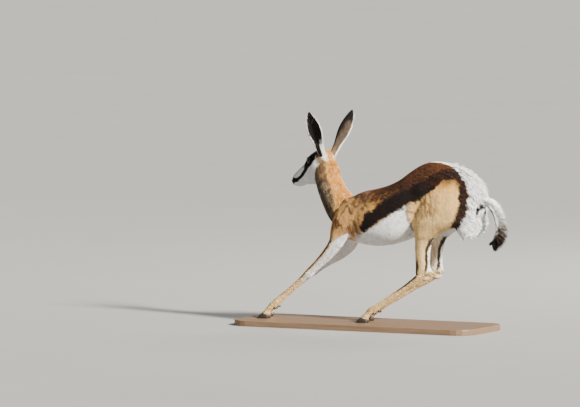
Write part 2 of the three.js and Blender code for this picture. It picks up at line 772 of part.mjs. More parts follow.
function place(name, s, mat) {
  const m = largest(s).getMesh();
  const positions = new Float32Array(m.numVert * 3);
  for (let i = 0; i < m.numVert; i++)
    positions.set(m.vertProperties.subarray(i * m.numProp, i * m.numProp + 3), i * 3);
  const geometry = new THREE.BufferGeometry();
  geometry.setAttribute("position", new THREE.BufferAttribute(positions, 3));
  geometry.setIndex(new THREE.BufferAttribute(m.triVerts, 1));
  geometry.computeVertexNormals();
  const mesh = new THREE.Mesh(geometry, mat);
  mesh.name = name;
  group.add(mesh);
}

// The head alone, with lids round the eyeballs, nostrils and the line of the mouth
let headFlesh = skull();
for (const hand of [LEFT, RIGHT]) {
  const [forward, out, up] = EYE_AT;
  const brow = headOval([forward, hand * (out - 5), up], BROW);
  headFlesh = join(headFlesh, brow, eyeball(hand, EYE_RADIUS + LID));
  headFlesh = headFlesh.subtract(eyeSlit(hand)).subtract(eyeball(hand, EYE_RADIUS + GAP));
  const nostril = [NOSTRIL_AT[0], hand * NOSTRIL_AT[1], NOSTRIL_AT[2]];
  headFlesh = headFlesh.subtract(headOval(nostril, NOSTRIL, 1));
}
headFlesh = headFlesh.subtract(mouthBar().subtract(skull(MOUTH_DEEP)));

// Ears, each parted from its root in the head
for (const [word, hand] of [["left", LEFT], ["right", RIGHT]]) {
  const at = earRoot(hand).addScaledVector(earAxis(hand), EAR_CUT * EAR_LENGTH).toArray();
  const way = earAxis(hand).toArray();
  const whole = ear(hand);
  place("ear_" + word, beyond(whole, [at, way], GAP), earCoat);
  headFlesh = headFlesh.add(beyond(whole, [at, way.map((v) => -v)]));
  place("eye_" + word, eyeball(hand, EYE_RADIUS), wetEye);
}

// All flesh as one body, then parted into nodes
let flesh = join(trunk(), neck(), headFlesh);
const limbs = [
  ["left", LEFT, FORELEG_LEFT, CANNON_LEFT, PLANES.foreCannonLeft, PLANES.hindCannonLeft],
  ["right", RIGHT, FORELEG_RIGHT, CANNON_RIGHT, PLANES.foreCannonRight, PLANES.hindCannonRight],
];
for (const [, hand, fore, cannon] of limbs) {
  flesh = join(
    flesh,
    limb(fore, hand, 21),
    solid(loft(domed(levelSections(smooth(HAUNCH, 17), hand), 10), 15)),
    solid(loft(domed(levelSections(smooth(HAM, 7), hand), 10), 13)),
    limb(cannon, hand, 15),
    ...dewclaws(fore, hand),
    ...dewclaws(cannon, hand),
  );
}
const wholeTail = tail();
flesh = flesh.add(beyond(wholeTail, [PLANES.tail[0], PLANES.tail[1].map((v) => -v)]));

const [rump, ahead] = parted(flesh, [PLANES.rump]);
flesh = ahead;
for (const [word, hand, fore, cannon, foreCut, hindCut] of limbs) {
  for (const [name, rows] of [["fore", fore], ["hind", cannon]]) {
    const plane = coronetPlane(rows, hand);
    const side = middlePlane(hand);
    const below = [[0, 0, 20], [0, 0, -1]];
    const ahead = [[rows.at(-2)[0] + 60, 0, 0], [-1, 0, 0]];
    const behind = [[rows.at(-2)[0] - 60, 0, 0], [1, 0, 0]];
    const [bulb, rest] = parted(flesh, [plane, side, below, ahead, behind]);
    flesh = rest;
    const claws = hoof(rows, hand).map((claw) => beyond(claw, plane, GAP / 2));
    const floor = [[0, 0, STAND_TOP + GAP], [0, 0, 1]];
    place(`hoof_${name}_${word}`, beyond(join(bulb, ...claws), floor), horn);
  }
  const side = middlePlane(hand);
  const [arm, afterArm] = parted(flesh, [PLANES.forearm, PLANES.foreBack, side]);
  const [lowerArm, upperArm] = parted(arm, [foreCut]);
  place(`foreleg_${word}_upper`, upperArm, legCoat);
  place(`foreleg_${word}_lower`, lowerArm, legCoat);
  const [leg, afterLeg] = parted(afterArm, [PLANES.shankTop, PLANES.shankFront, side]);
  const [lowerLeg, upperLeg] = parted(leg, [hindCut]);
  place(`hindleg_${word}_upper`, upperLeg, legCoat);
  place(`hindleg_${word}_lower`, lowerLeg, legCoat);
  const thighPlanes = [PLANES.thighTop, PLANES.thighFront, middlePlane(hand, THIGH_INSIDE)];
  const [thigh, afterThigh] = parted(afterLeg, thighPlanes);
  flesh = afterThigh;
  place("thigh_" + word, thigh, tanCoat);
}
const tailNode = join(beyond(wholeTail, PLANES.tail, GAP), ...tailLocks());
const [headNode, belowHead] = parted(flesh, [PLANES.head]);
const [neckNode, body] = parted(belowHead, [PLANES.neck]);
place("head", headNode, whiteCoat);
place("neck", neckNode, tanCoat);
place("torso", body, tanCoat);
const lockedRump = beyond(join(rump, ...rumpLocks(rump)), PLANES.rump, GAP / 2);
place("rump", lockedRump.subtract(tail(GAP)).subtract(tailNode), whiteCoat);
place("tail", tailNode, whiteCoat);
place("stand_base", stand(), standPaint);

// The origin goes to the middle of the underside
const bounds = new THREE.Box3().setFromObject(group);
const middle = bounds.getCenter(new THREE.Vector3());
group.position.set(-middle.x, -middle.y, -bounds.min.z);

export default group;
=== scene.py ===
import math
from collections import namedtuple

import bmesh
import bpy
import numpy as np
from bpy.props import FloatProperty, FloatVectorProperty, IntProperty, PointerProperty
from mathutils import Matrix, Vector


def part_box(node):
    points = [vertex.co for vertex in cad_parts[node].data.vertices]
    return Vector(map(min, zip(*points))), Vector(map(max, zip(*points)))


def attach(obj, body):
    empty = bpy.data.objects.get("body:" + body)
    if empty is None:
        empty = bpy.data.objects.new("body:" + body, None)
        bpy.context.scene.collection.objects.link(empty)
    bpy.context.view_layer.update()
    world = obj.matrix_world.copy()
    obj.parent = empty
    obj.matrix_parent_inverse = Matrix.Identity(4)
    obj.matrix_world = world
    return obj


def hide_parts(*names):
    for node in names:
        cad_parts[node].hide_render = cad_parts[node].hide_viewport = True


bl_info = {
    "name": "Springbok lamb model",
    "version": (1, 0, 0),
    "blender": (4, 5, 0),
    "location": "View3D > Sidebar > Springbok",
    "description": "A life-size springbok lamb at a run: skin, coat, ears, eyes, hooves and stand",
    "category": "Object",
}

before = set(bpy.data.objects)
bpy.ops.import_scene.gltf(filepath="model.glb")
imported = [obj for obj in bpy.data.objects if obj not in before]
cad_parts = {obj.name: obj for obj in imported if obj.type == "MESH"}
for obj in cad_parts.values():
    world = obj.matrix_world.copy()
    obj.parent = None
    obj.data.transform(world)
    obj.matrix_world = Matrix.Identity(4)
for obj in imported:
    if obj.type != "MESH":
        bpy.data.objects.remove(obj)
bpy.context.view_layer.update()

# Everything is worked out in millimetres in the lamb's own axes: it faces -X, its left side is -Y, z = 0 is
# level with the coronets and y = 0 is its middle plane. The stand's front end and top tie that to the frame.
STAND_FRONT = -530
STAND_TOP = -18
GAP = 0.3  # between the hooves and the stand
LEFT, RIGHT = -1, 1
HANDS = (("left", LEFT), ("right", RIGHT))
stand_low, stand_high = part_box("stand_base")
FRAME_SHIFT = np.array([
    stand_low.x * 1000 - STAND_FRONT,
    (stand_low.y + stand_high.y) * 500,
    stand_high.z * 1000 - STAND_TOP,
])

EYE_RADIUS = 12.5
EAR_LENGTH = 163
# Trunk, front to back: x, height of the back, height of the belly, half width, share of the depth at
# which it is widest, fullness of the section (2 is an ellipse)
TRUNK = [
    [-222, 322, 270, 26, 0.5, 2.1],
    [-212, 336, 257, 38, 0.5, 2.1],
    [-192, 356, 243, 47, 0.48, 2.1],
    [-160, 374, 232, 53, 0.46, 2.1],
    [-121, 390, 222, 59, 0.46, 2.1],
    [-80, 399, 218, 65, 0.45, 2.1],
    [-35, 412, 222, 69, 0.45, 2.15],
    [5, 431, 232, 70, 0.45, 2.15],
    [40, 456, 245, 67, 0.46, 2.15],
    [75, 477, 262, 61, 0.5, 2.1],
    [110, 488, 283, 58, 0.55, 2.1],
    [145, 488, 300, 58, 0.6, 2.1],
    [180, 482, 308, 58, 0.6, 2.1],
    [215, 467, 314, 53, 0.6, 2.1],
    [244, 448, 316, 46, 0.6, 2.1],
    [264, 428, 320, 39, 0.55, 2.1],
    [277, 406, 328, 30, 0.5, 2.1],
]
# Neck, base to head: x, y, z, reach to the nape, reach to the throat, half width
NECK = [
    [-176, 0, 300, 66, 50, 40],
    [-205, 0, 334, 58, 50, 41],
    [-232, 2, 376, 49, 45, 37],
    [-248, 6, 414, 44, 45, 34.5],
    [-256, 10, 450, 39, 46, 32],
    [-261, 13, 476, 29, 40, 27],
]
# Head: where the back of the skull is, and which way it looks. Its own frame is forward, out and up
HEAD_AT = [-250, 12, 482]
HEAD_YAW = 19  # degrees to the lamb's right
HEAD_PITCH = 21  # degrees nose down
# forward, top, underside, half width, fullness
HEAD = [
    [0, 32, -32, 26, 2.3],
    [16, 40, -52, 32, 2.35],
    [36, 44, -63, 34, 2.2],
    [58, 42, -62, 33, 2.1],
    [80, 35, -55, 28, 2.1],
    [103, 26, -47, 22.5, 2.1],
    [126, 17.5, -40, 19.2, 2.2],
    [145, 11, -38.5, 17.4, 2.3],
    [160, 5.5, -35, 16.6, 2.35],
    [171, -1, -28.5, 14, 2.3],
]
HEAD_TOP = [[0, 32], [36, 44], [80, 35], [126, 17.5], [171, -1]]  # forward, up
EYE_AT = [60, 19.8, 18]  # forward, out, up in the head's frame
EYE_WAY = [0.34, 0.92, 0.14]
EYE_SLIT = [10.8, 7.6]  # half length and half height of the opening between the lids
BROW = [21, 13, 17]  # reaches of the bony rim round the eye, forward, out and up
MOUTH = [[118, -27], [134, -24.5], [150, -22], [166, -19], [184, -17]]  # forward, up
NOSTRIL_AT = [173.5, 7.5, -6]
# Ears: root in the head's frame, the way they point and the way their cups open
EAR_ROOT = [6, 19.5, 11.5]
EAR_WAY = [-54, 63, 108]
EAR_OPEN_LEFT = [-0.5, 0.85, -0.2]
EAR_OPEN_RIGHT = [0.35, 1, -0.3]
# share of the length, half width, depth of the cup, share of the cup that is filled
EAR = [
    [0, 10, 11, 1],
    [0.15, 12, 13, 1],
    [0.25, 13.5, 14, 0.8],
    [0.34, 16.8, 14, 0.2],
    [0.44, 20.6, 13, 0],
    [0.55, 23.2, 12, 0],
    [0.66, 23, 10.5, 0],
    [0.77, 19.4, 8.6, 0],
    [0.87, 13.4, 6.4, 0],
    [0.94, 8, 4.6, 0.1],
    [1, 2.2, 2.4, 1],
]
# Legs: x, y out from the middle plane, z, reach forward, reach back, half width
LEG_ROWS = {}
LEG_ROWS["fore", LEFT] = [
    [-150, 25, 352, 32, 34, 18],
    [-171, 36, 308, 39, 40, 23],
    [-188, 42, 264, 33, 36, 24],
    [-203, 43, 228, 23, 27, 20],
    [-230, 42, 194, 18, 21, 16.5],
    [-260, 40, 164, 14.5, 16, 13.5],
    [-283, 38, 143, 13.5, 14, 13],
    [-300, 37, 128, 13, 15, 13],
    [-319, 36, 112, 10, 11, 10.5],
    [-350, 34.5, 87, 8.8, 9.4, 8.8],
    [-390, 33, 55, 8.8, 9.4, 8.8],
    [-412, 32.5, 37, 10, 11.5, 10.5],
    [-426, 32, 25, 10.8, 13, 11.6],
    [-439, 32, 11, 9.6, 11.4, 11],
    [-451, 32, -3, 10.6, 12, 12.4],
    [-458, 32, -11, 11, 12, 12.8],
]
LEG_ROWS["fore", RIGHT] = [
    [-150, 25, 352, 32, 34, 18],
    [-174, 36, 307, 40, 40, 23],
    [-190, 42, 262, 34, 40, 24],
    [-205, 43, 226, 26, 36, 20],
    [-230, 42, 198, 20, 29, 16.5],
    [-264, 40, 171, 16, 20, 13.5],
    [-294, 38, 149, 13.5, 15, 13],
    [-317, 37, 132, 13, 15, 13],
    [-337, 36, 116, 10, 11, 10.5],
    [-369, 34.5, 90, 8.8, 9.4, 8.8],
    [-411, 33, 56, 8.8, 9.4, 8.8],
    [-434, 32.5, 37, 10, 11.5, 10.5],
    [-448, 32, 25, 10.8, 13, 11.6],
    [-461, 32, 11, 9.6, 11.4, 11],
    [-473, 32, -3, 10.6, 12, 12.4],
    [-480, 32, -11, 11, 12, 12.8],
]
LEG_ROWS["cannon", LEFT] = [
    [118, 43, 146, 15, 12, 12.5],
    [96, 43, 132, 16.5, 15, 14],
    [70, 42.5, 115, 13.5, 14, 12.5],
    [38, 41.5, 95, 10, 11, 10],
    [0, 40, 71, 9.2, 10, 9.2],
    [-40, 38, 46, 9.2, 10, 9.2],
    [-64, 36.5, 31, 10.4, 12, 10.8],
    [-80, 35.5, 21.5, 11.2, 13.4, 11.8],
    [-94, 35, 9, 9.8, 11.6, 11.2],
    [-106, 35, -4, 10.8, 12, 12.4],
    [-112, 35, -12, 11.2, 12, 12.8],
]
LEG_ROWS["cannon", RIGHT] = [
    [115, 43, 146, 15, 12, 12.5],
    [92, 43, 132, 16.5, 15, 14],
    [65, 42.5, 115, 13.5, 14, 12.5],
    [31, 41.5, 95, 10, 11, 10],
    [-10, 40, 70, 9.2, 10, 9.2],
    [-54, 38, 45, 9.2, 10, 9.2],
    [-80, 36.5, 31, 10.4, 12, 10.8],
    [-97, 35.5, 21.5, 11.2, 13.4, 11.8],
    [-111, 35, 9, 9.8, 11.6, 11.2],
    [-123, 35, -4, 10.8, 12, 12.4],
    [-129, 35, -12, 11.2, 12, 12.8],
]
# Level sections, top to bottom: z, front, back, y out from the middle plane, half width
HAUNCH = [
    [440, 130, 243, 29, 18],
    [415, 105, 267, 35, 25],
    [380, 86, 275, 39, 29],
    [350, 74, 274, 41, 31],
    [322, 69, 262, 43, 30],
    [302, 68, 234, 45, 29],
    [284, 69, 192, 46, 26],
    [264, 71, 155, 47, 22.5],
    [244, 73, 136, 47, 19],
    [220, 74, 127, 46, 15.8],
    [190, 75, 124, 45, 13.4],
    [166, 76, 124, 44, 12.6],
    [146, 77, 127, 43.5, 13.4],
    [130, 80, 120, 43, 12],
]
HAM = [
    [394, 205, 268, 22, 20],
    [362, 201, 278, 27, 24],
    [332, 198, 280, 29, 26],
    [306, 197, 274, 31, 26],
    [290, 200, 268, 31, 25],
    [277, 210, 261, 30, 22],
    [270, 220, 254, 29, 17],
]
# Tail, root to tip: x, y, z, reach of the inner side, reach of the fringe, half width
TAIL = [
    [246, 0, 368, 11, 11, 12],
    [262, 0, 370, 10, 9, 10],
    [278, 0, 367, 8, 7.5, 8],
    [292, 1, 361, 6.5, 7, 6.8],
    [308, 3, 350, 6, 8, 6.2],
    [321, 5, 329, 5.5, 9, 5.8],
    [328, 7, 303, 5, 10, 5.4],
    [327, 8, 277, 5, 10, 5.2],
    [319, 9, 255, 4.8, 9, 5],
    [309, 10, 243, 4.2, 6, 4.4],
]
# Hooves: the sole's toe and heel, the coronet's front and back, all forward of the coronet's middle
HOOF_TOE, HOOF_HEEL = 29, -11
CORONET_FRONT, CORONET_BACK = 9, -13
CLAW_HALF, CLAW_APART = 6.9, 7.5
CORONET_TILT = 0.35
CLAW_LEVELS = (0, 0.03, 0.1, 0.25, 0.45, 0.65, 0.85, 1.0, 1.06)  # from the sole to the coronet
CLAW_POINTS = 40  # round each level
HEEL_REACH = [6.4, 5.4, 7.6]  # forward, out and up
DEWCLAW_REACH = [4.6, 2.8, 3.4]

# Lids: points along their edge, how far it and the lashes are from the middle of the eye
LID_POINTS = 72
LID_RADIUS = 13.1
LASH_RADIUS = 13.4
LASHES = 46

# Muscles, bones and hollows: forward-back, out, up, the three reaches, and how far they stand out
RELIEF = [
    [-150, 62, 330, 16, 40, 62, 3.2],
    [-183, 50, 292, 20, 40, 24, 2.6],
    [-120, 62, 262, 26, 40, 22, 2.4],
    [-128, 62, 350, 22, 30, 40, -2.2],
    [60, 60, 330, 16, 40, 60, 2.4],
    [150, 74, 360, 60, 40, 46, 3.0],
    [205, 66, 330, 34, 40, 40, 2.6],
    [96, 62, 400, 24, 30, 22, 2.6],
    [60, 62, 392, 20, 30, 26, -3.0],
    [112, 44, 205, 8, 40, 34, -2.6],
    [118, 44, 150, 8, 40, 12, 1.8],
    [82, 44, 146, 8, 40, 12, 1.6],
]


def unit(vectors):
    vectors = np.asarray(vectors, float)
    return vectors / np.maximum(np.linalg.norm(vectors, axis=-1, keepdims=True), 1e-9)


def flat_to(vectors, normals):
    """The part of each vector that is square to its normal, at length 1."""
    return unit(vectors - normals * np.sum(vectors * normals, axis=-1, keepdims=True))


def ramp(low, high, value):
    """A soft step from 0 at low to 1 at high."""
    share = np.clip((value - low) / (high - low), 0, 1)
    return share * share * (3 - 2 * share)


def smooth(rows, count):
    """Rows of a table at count even places, each column on one smooth curve through the rows."""
    rows = np.asarray(rows, float)
    place = np.linspace(0, len(rows) - 1, count)
    at = np.minimum(place.astype(int), len(rows) - 2)
    t = (place - at)[:, None]
    a, b, c, d = (rows[np.clip(at + k, 0, len(rows) - 1)] for k in (-1, 0, 1, 2))
    p, q = (c - a) / 2, (d - b) / 2
    return b + t * (p + t * (3 * (c - b) - 2 * p - q + t * (2 * (b - c) + p + q)))


# A section is its centre, up axis, side axis, reaches up, down and to both sides, fullness and way
def sections_along(rows):
    """Sections square to a path, each level from side to side."""
    path = rows[:, :3]
    last = len(rows) - 1
    made = []
    for i, row in enumerate(rows):
        way = unit(path[min(i + 1, last)] - path[max(i - 1, 0)])
        side = flat_to(np.array([0, 1.0, 0]), way)
        made.append((path[i], np.cross(side, way), side, row[3], row[4], row[5], row[5], 2, way))
    return made


def level_sections(rows, hand):
    """Sections that lie level, from front and back instead of a path."""
    made = []
    for z, front, back, out, half in rows:
        centre = np.array([(front + back) / 2, hand * out, z])
        deep = (back - front) / 2
        made.append((centre, np.array([1.0, 0, 0]), np.array([0, 1.0, 0]), deep, deep, half, half, 2.2,
                     np.array([0, 0, -1.0])))
    return made


def dome(section, outward, length, rings=4):
    """Extra sections that close an end in a dome."""
    centre, up, side, top, bottom, left, right, power, way = section
    made = []
    for k in range(1, rings + 1):
        turn = math.pi / 2 * k / (rings + 0.6)
        share = math.cos(turn)
        made.append((centre + outward * length * math.sin(turn), up, side, top * share, bottom * share,
                     left * share, right * share, power, way))
    return made


def ring(section, around):
    """Points round one section."""
    centre, up, side, top, bottom, left, right, power, _ = section
    turn = 2 * math.pi * (np.arange(around) + 0.5) / around
    across = np.sign(np.cos(turn)) * np.abs(np.cos(turn)) ** (2 / power)
    rise = np.sign(np.sin(turn)) * np.abs(np.sin(turn)) ** (2 / power)
    return (centre + np.outer(across * np.where(across > 0, right, left), side)
            + np.outer(rise * np.where(rise > 0, top, bottom), up))


def skinned(rings):
    """Points and four-cornered faces of a closed surface over rings, with a fan at each end."""
    around = len(rings[0])
    points = np.concatenate([*rings, [rings[0].mean(0)], [rings[-1].mean(0)]])
    k = np.arange(around)
    after = (k + 1) % around
    faces = []
    for i in range(len(rings) - 1):
        low, high = i * around, (i + 1) * around
        faces.append(np.stack([low + k, low + after, high + after, high + k], 1))
    end = (len(rings) - 1) * around
    first, last = len(points) - 2, len(points) - 1
    faces.append(np.stack([after, k, np.full(around, first), np.full(around, first)], 1))
    faces.append(np.stack([end + k, end + after, np.full(around, last), np.full(around, last)], 1))
    return points, np.concatenate(faces)


def loft(sections, around):
    return skinned([ring(s, around) for s in sections])


def merged(shapes):
    """Several shapes' points and faces as one."""
    points, faces, start = [], [], 0
    for p, f in shapes:
        points.append(p)
        faces.append(f + start)
        start += len(p)
    return np.concatenate(points), np.concatenate(faces)


def in_frame(points):
    """Points in the frame's own metres."""
    return (np.asarray(points) + FRAME_SHIFT) / 1000


def from_frame(mesh):
    """A mesh's points in millimetres in the lamb's own axes."""
    return read(mesh.vertices, "co").astype(float) * 1000 - FRAME_SHIFT


def placed(name, data):
    """A new object in the scene."""
    made = bpy.data.objects.new(name, data)
    bpy.context.scene.collection.objects.link(made)
    return made


def new_piece(name, points, faces, slot, replaced=()):
    """An object from points in millimetres and faces, where a repeated last corner means a triangle."""
    mesh = bpy.data.meshes.new(name)
    faces = np.asarray(faces)
    three = faces[:, 2] == faces[:, -1] if faces.shape[1] == 4 else np.ones(len(faces), bool)
    sizes = np.where(three, 3, faces.shape[1])
    corners = faces[np.arange(faces.shape[1])[None, :] < sizes[:, None]]
    mesh.vertices.add(len(points))
    mesh.vertices.foreach_set("co", in_frame(points).astype(np.float32).ravel())
    mesh.loops.add(len(corners))
    mesh.loops.foreach_set("vertex_index", corners.astype(np.int32))
    mesh.polygons.add(len(faces))
    mesh.polygons.foreach_set("loop_start", np.concatenate([[0], np.cumsum(sizes)[:-1]]).astype(np.int32))
    mesh.update(calc_edges=True)
    mesh.shade_smooth()
    piece = placed(name, mesh)
    if slot:
        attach(piece, "root")
    if replaced:
        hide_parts(*replaced)
    return piece


def dress(piece, values, material):
    """A colour on every vertex of a piece, which its material reads, and the material."""
    values = np.asarray(values, np.float32)
    full = np.concatenate([values, np.ones((len(values), 1), np.float32)], 1)
    piece.data.attributes.new("coat_colour", "FLOAT_COLOR", "POINT").data.foreach_set("color", full.ravel())
    put_on(piece, material)


def put_on(piece, material):
    """The one material of a piece."""
    piece.data.materials.clear()
    piece.data.materials.append(material)


def turned(about, degrees):
    """A turn about the z or the y axis."""
    c, s = math.cos(math.radians(degrees)), math.sin(math.radians(degrees))
    if about == "z":
        return np.array([[c, -s, 0], [s, c, 0], [0, 0, 1]])
    return np.array([[c, 0, s], [0, 1, 0], [-s, 0, c]])


# The head's own axes, forward, out to the right and up, as columns
HEAD_TURN = turned("z", -HEAD_YAW) @ turned("y", -HEAD_PITCH) @ np.diag([-1.0, 1, 1])


def head_way(forward, out, up):
    return unit(HEAD_TURN @ np.array([forward, out, up], float))


def head_point(forward, out, up):
    return np.array(HEAD_AT) + HEAD_TURN @ np.array([forward, out, up], float)


def in_head(points):
    return (points - np.array(HEAD_AT)) @ HEAD_TURN


def eye_centre(hand):
    return head_point(EYE_AT[0], hand * EYE_AT[1], EYE_AT[2])


def eye_axes(hand):
    way = head_way(EYE_WAY[0], hand * EYE_WAY[1], EYE_WAY[2])
    side = flat_to(head_way(1, 0, -0.18), way)
    up = unit(np.cross(side, way))
    return way, side, up if up[2] > 0 else -up


def ovoid(centre, axes, reaches, around=24, rings=14):
    """A closed egg about a centre, with its own reach along each axis."""
    made = []
    for k in range(rings):
        turn = math.pi * (k + 0.5) / rings
        share = math.sin(turn)
        middle = centre + axes[0] * reaches[0] * math.cos(turn)
        made.append((middle, axes[2], axes[1], reaches[2] * share, reaches[2] * share,
                     reaches[1] * share, reaches[1] * share, 2, axes[0]))
    return loft(made, around)


def trunk_sections(count):
    """Upright sections from chest to rump."""
    made = []
    for x, back, belly, half, widest, power in smooth(TRUNK, count):
        middle = belly + (back - belly) * widest
        made.append((np.array([x, 0, middle]), np.array([0, 0, 1.0]), np.array([0, 1.0, 0]), back - middle,
                     middle - belly, half, half, power, np.array([1.0, 0, 0])))
    return made


def head_sections(count):
    """Sections from the back of the skull to the nose, in the head's own axes."""
    made = []
    for forward, top, under, half, power in smooth(HEAD, count):
        middle = (top + under) / 2
        made.append((head_point(forward, 0, middle), head_way(0, 0, 1), head_way(0, 1, 0), top - middle,
                     middle - under, half, half, power, head_way(1, 0, 0)))
    return made


def leg_rows(kind, hand):
    """A leg's table with y measured to its own side."""
    return [[r[0], hand * r[1], *r[2:]] for r in LEG_ROWS[kind, hand]]


def body_parts():
    """Every part of the body as sections from its root to its end, without and with domed ends."""
    down, up = np.array([0, 0, -1.0]), np.array([0, 0, 1.0])
    parts = {"trunk": trunk_sections(48), "neck": sections_along(smooth(NECK, 24)),
             "head": head_sections(40), "tail": sections_along(smooth(TAIL, 40))}
    for word, hand in HANDS:
        parts["fore_" + word] = sections_along(smooth(leg_rows("fore", hand), 60))
        parts["haunch_" + word] = level_sections(smooth(HAUNCH, 44), hand)
        parts["ham_" + word] = level_sections(smooth(HAM, 16), hand)
        parts["cannon_" + word] = sections_along(smooth(leg_rows("cannon", hand), 44))
    closed = {}
    for name, sections in parts.items():
        first, last = sections[0], sections[-1]
        if name == "trunk":
            front, back = dome(first, -first[8], 11), dome(last, last[8], 11)
        elif name == "head":
            front, back = dome(first, -first[8], 8), dome(last, last[8], 7, 6)
        elif name.startswith(("haunch", "ham")):
            front, back = dome(first, up, 10), dome(last, down, 10)
        elif name == "neck":
            front, back = [], dome(last, last[8], 8)
        elif name == "tail":
            front, back = [], dome(last, last[8], 5)
        else:
            front, back = dome(first, -first[8], 14), dome(last, last[8], 3, 2)
        closed[name] = [*front[::-1], *sections, *back]
    return parts, closed


PARTS, CLOSED_PARTS = body_parts()
PART_NAMES = list(PARTS)
PART_KINDS = [name.split("_")[0] for name in PART_NAMES]
PART_WAYS = [np.array([s[8] for s in PARTS[name]]) for name in PART_NAMES]
LOCATED_AT_ONCE = 20000  # points, which limits the memory that it takes


def locate(points):
    """How far each part's surface is from points by it, 1 being on it, and their share and turn there."""
    reach, share, turn = [], [], []
    for sections in PARTS.values():
        centres, ups, sides, ways = (np.array([s[k] for s in sections]) for k in (0, 1, 2, 8))
        sizes = np.array([s[3:7] for s in sections])
        nearest = np.zeros(len(points), int)
        for start in range(0, len(points), LOCATED_AT_ONCE):
            some = slice(start, start + LOCATED_AT_ONCE)
            away = ((points[some, None, :] - centres[None]) ** 2).sum(2)
            nearest[some] = away.argmin(1)
        offset = points - centres[nearest]
        rise = (offset * ups[nearest]).sum(1)
        across = (offset * sides[nearest]).sum(1)
        past = (offset * ways[nearest]).sum(1)
        high = np.where(rise > 0, sizes[nearest, 0], sizes[nearest, 1])
        wide = sizes[nearest, 2]
        ended = (nearest == 0) | (nearest == len(sections) - 1)
        past = np.where(ended, past / 8, past / 60)
        reach.append(np.sqrt((rise / high) ** 2 + (across / wide) ** 2 + past ** 2))
        share.append(nearest / (len(sections) - 1))
        turn.append(np.arctan2(rise / high, across / wide))
    return np.array(reach), np.array(share), np.array(turn)


def spread(values, edges, rounds, strength=0.5):
    """Each value drawn towards the mean of its neighbours', rounds times."""
    count = len(values)
    ends = np.concatenate([edges[:, 0], edges[:, 1]])
    others = np.concatenate([edges[:, 1], edges[:, 0]])
    near = np.maximum(np.bincount(ends, minlength=count), 1)
    values = values.astype(float).copy()
    flat = values.ndim == 1
    table = values[:, None] if flat else values
    strength = np.broadcast_to(strength, (count,))
    for _ in range(rounds):
        for k in range(table.shape[1]):
            mean = np.bincount(ends, table[others, k], minlength=count) / near
            table[:, k] += strength * (mean - table[:, k])
    return table[:, 0] if flat else table


def read(items, key, width=3, kind=np.float32):
    """One property of all of a mesh's items as a table."""
    values = np.empty(len(items) * width, kind)
    items.foreach_get(key, values)
    return values.reshape(-1, width)


def vertex_normals(mesh):
    return read(mesh.vertices, "normal").astype(float)


def triangles(mesh):
    mesh.calc_loop_triangles()
    return read(mesh.loop_triangles, "vertices", kind=np.int32)


def waves(points, length, seed, count=9):
    """Soft noise from about -1 to 1, with bumps of the given length."""
    draw = np.random.default_rng(seed)
    total = np.zeros(len(points))
    for _ in range(count):
        way = unit(draw.normal(size=3)) * (2 * math.pi / length) * draw.uniform(0.6, 1.5)
        total += np.sin(points @ way + draw.uniform(0, 6.3))
    return total / math.sqrt(count) * 0.9


def along(table, value):
    """A number read from a table of two columns, straight between its rows."""
    table = np.array(table, float)
    return np.interp(value, table[:, 0], table[:, 1])


def off_path(points, path):
    """Distance of 2-D points from a path whose rows are two places and a half width, over that half width."""
    path = np.array(path, float)
    best = np.full(len(points), 1e9)
    for a, b in zip(path[:-1], path[1:]):
        run = b[:2] - a[:2]
        t = np.clip(((points - a[:2]) @ run) / (run @ run), 0, 1)
        away = np.linalg.norm(points - a[:2] - t[:, None] * run, axis=1)
        best = np.minimum(best, away / (a[2] + t * (b[2] - a[2])))
    return best


# Markings, seen from the side. The dark band: x, z and half width
BAND = [
    [-104, 284, 14], [-85, 304, 23], [-19, 350, 27], [49, 384, 25], [113, 416, 22], [161, 452, 16],
    [205, 458, 16], [231, 436, 16], [241, 400, 16], [239, 350, 15], [226, 317, 13], [205, 288, 10],
]
# The lower edge of the brown back: x, z
BACK_LINE = [[-240, 350], [-160, 350], [-60, 352], [60, 392], [160, 430], [280, 420]]
# The front edge of the white rump from the side: z, x. From above: x, y
WHITE_RUMP_SIDE = [[262, 188], [295, 222], [330, 246], [355, 254], [400, 257], [425, 254], [445, 245],
                   [460, 234], [486, 212]]
WHITE_RUMP_TOP = [[90, -4], [104, 6], [150, 14], [180, 20], [205, 27], [225, 35], [245, 45], [262, 62]]
# The upper edge of the white belly and the front edge of the thigh: x, z and z, x
BELLY_LINE = [[-240, 222], [-150, 238], [-111, 266], [-54, 300], [8, 341], [68, 374], [100, 392], [300, 396]]
THIGH_LINE = [[230, 66], [250, 60], [290, 51], [330, 44], [350, 44], [364, 54], [382, 76], [402, 104],
              [416, 130]]
# The back edge of the dark throat, which is partly painted shade: z, how far forward the skin faces
THROAT_SHADE_EDGE = [[330, 0.25], [355, 0.1], [404, -0.08], [425, 0.12], [445, 0.45], [470, 0.7]]
# The front of the shank and its depth, for the painted shade in the groove along it: z, x and z, depth
SHANK_FRONT = [[130, 80], [146, 77], [220, 74], [264, 71]]
SHANK_DEPTH = [[130, 40], [166, 48], [190, 49], [220, 53], [264, 84]]
# The lower edge of the tan over the foreleg's white: x, z
FORELEG_TAN = [[-240, 222], [-200, 242], [-165, 258], [-110, 266]]
# The dark stripe of the face in the head's frame: forward, up and half width
FACE_STRIPE = [
    [42, 20, 9], [60, 16, 15], [78, 9, 12], [100, -5, 7], [124, -14, 5.5], [146, -17, 5.5], [164, -13, 9],
]
# Bare dark skin under the root of the tail, seen from behind: y, z and half width
PATCH_UNDER_TAIL = [[2, 356, 12], [15, 362, 9], [25, 353, 8.5], [31, 339, 7], [34, 323, 3]]


def white_rump_edge(points):
    """How far inside the edge of the white rump a point is."""
    x, y, z = points.T
    over = np.where(z > 400, 1.3 * (along(WHITE_RUMP_TOP, x) - np.abs(y)), -99)
    return np.maximum(x - along(WHITE_RUMP_SIDE, z), over)


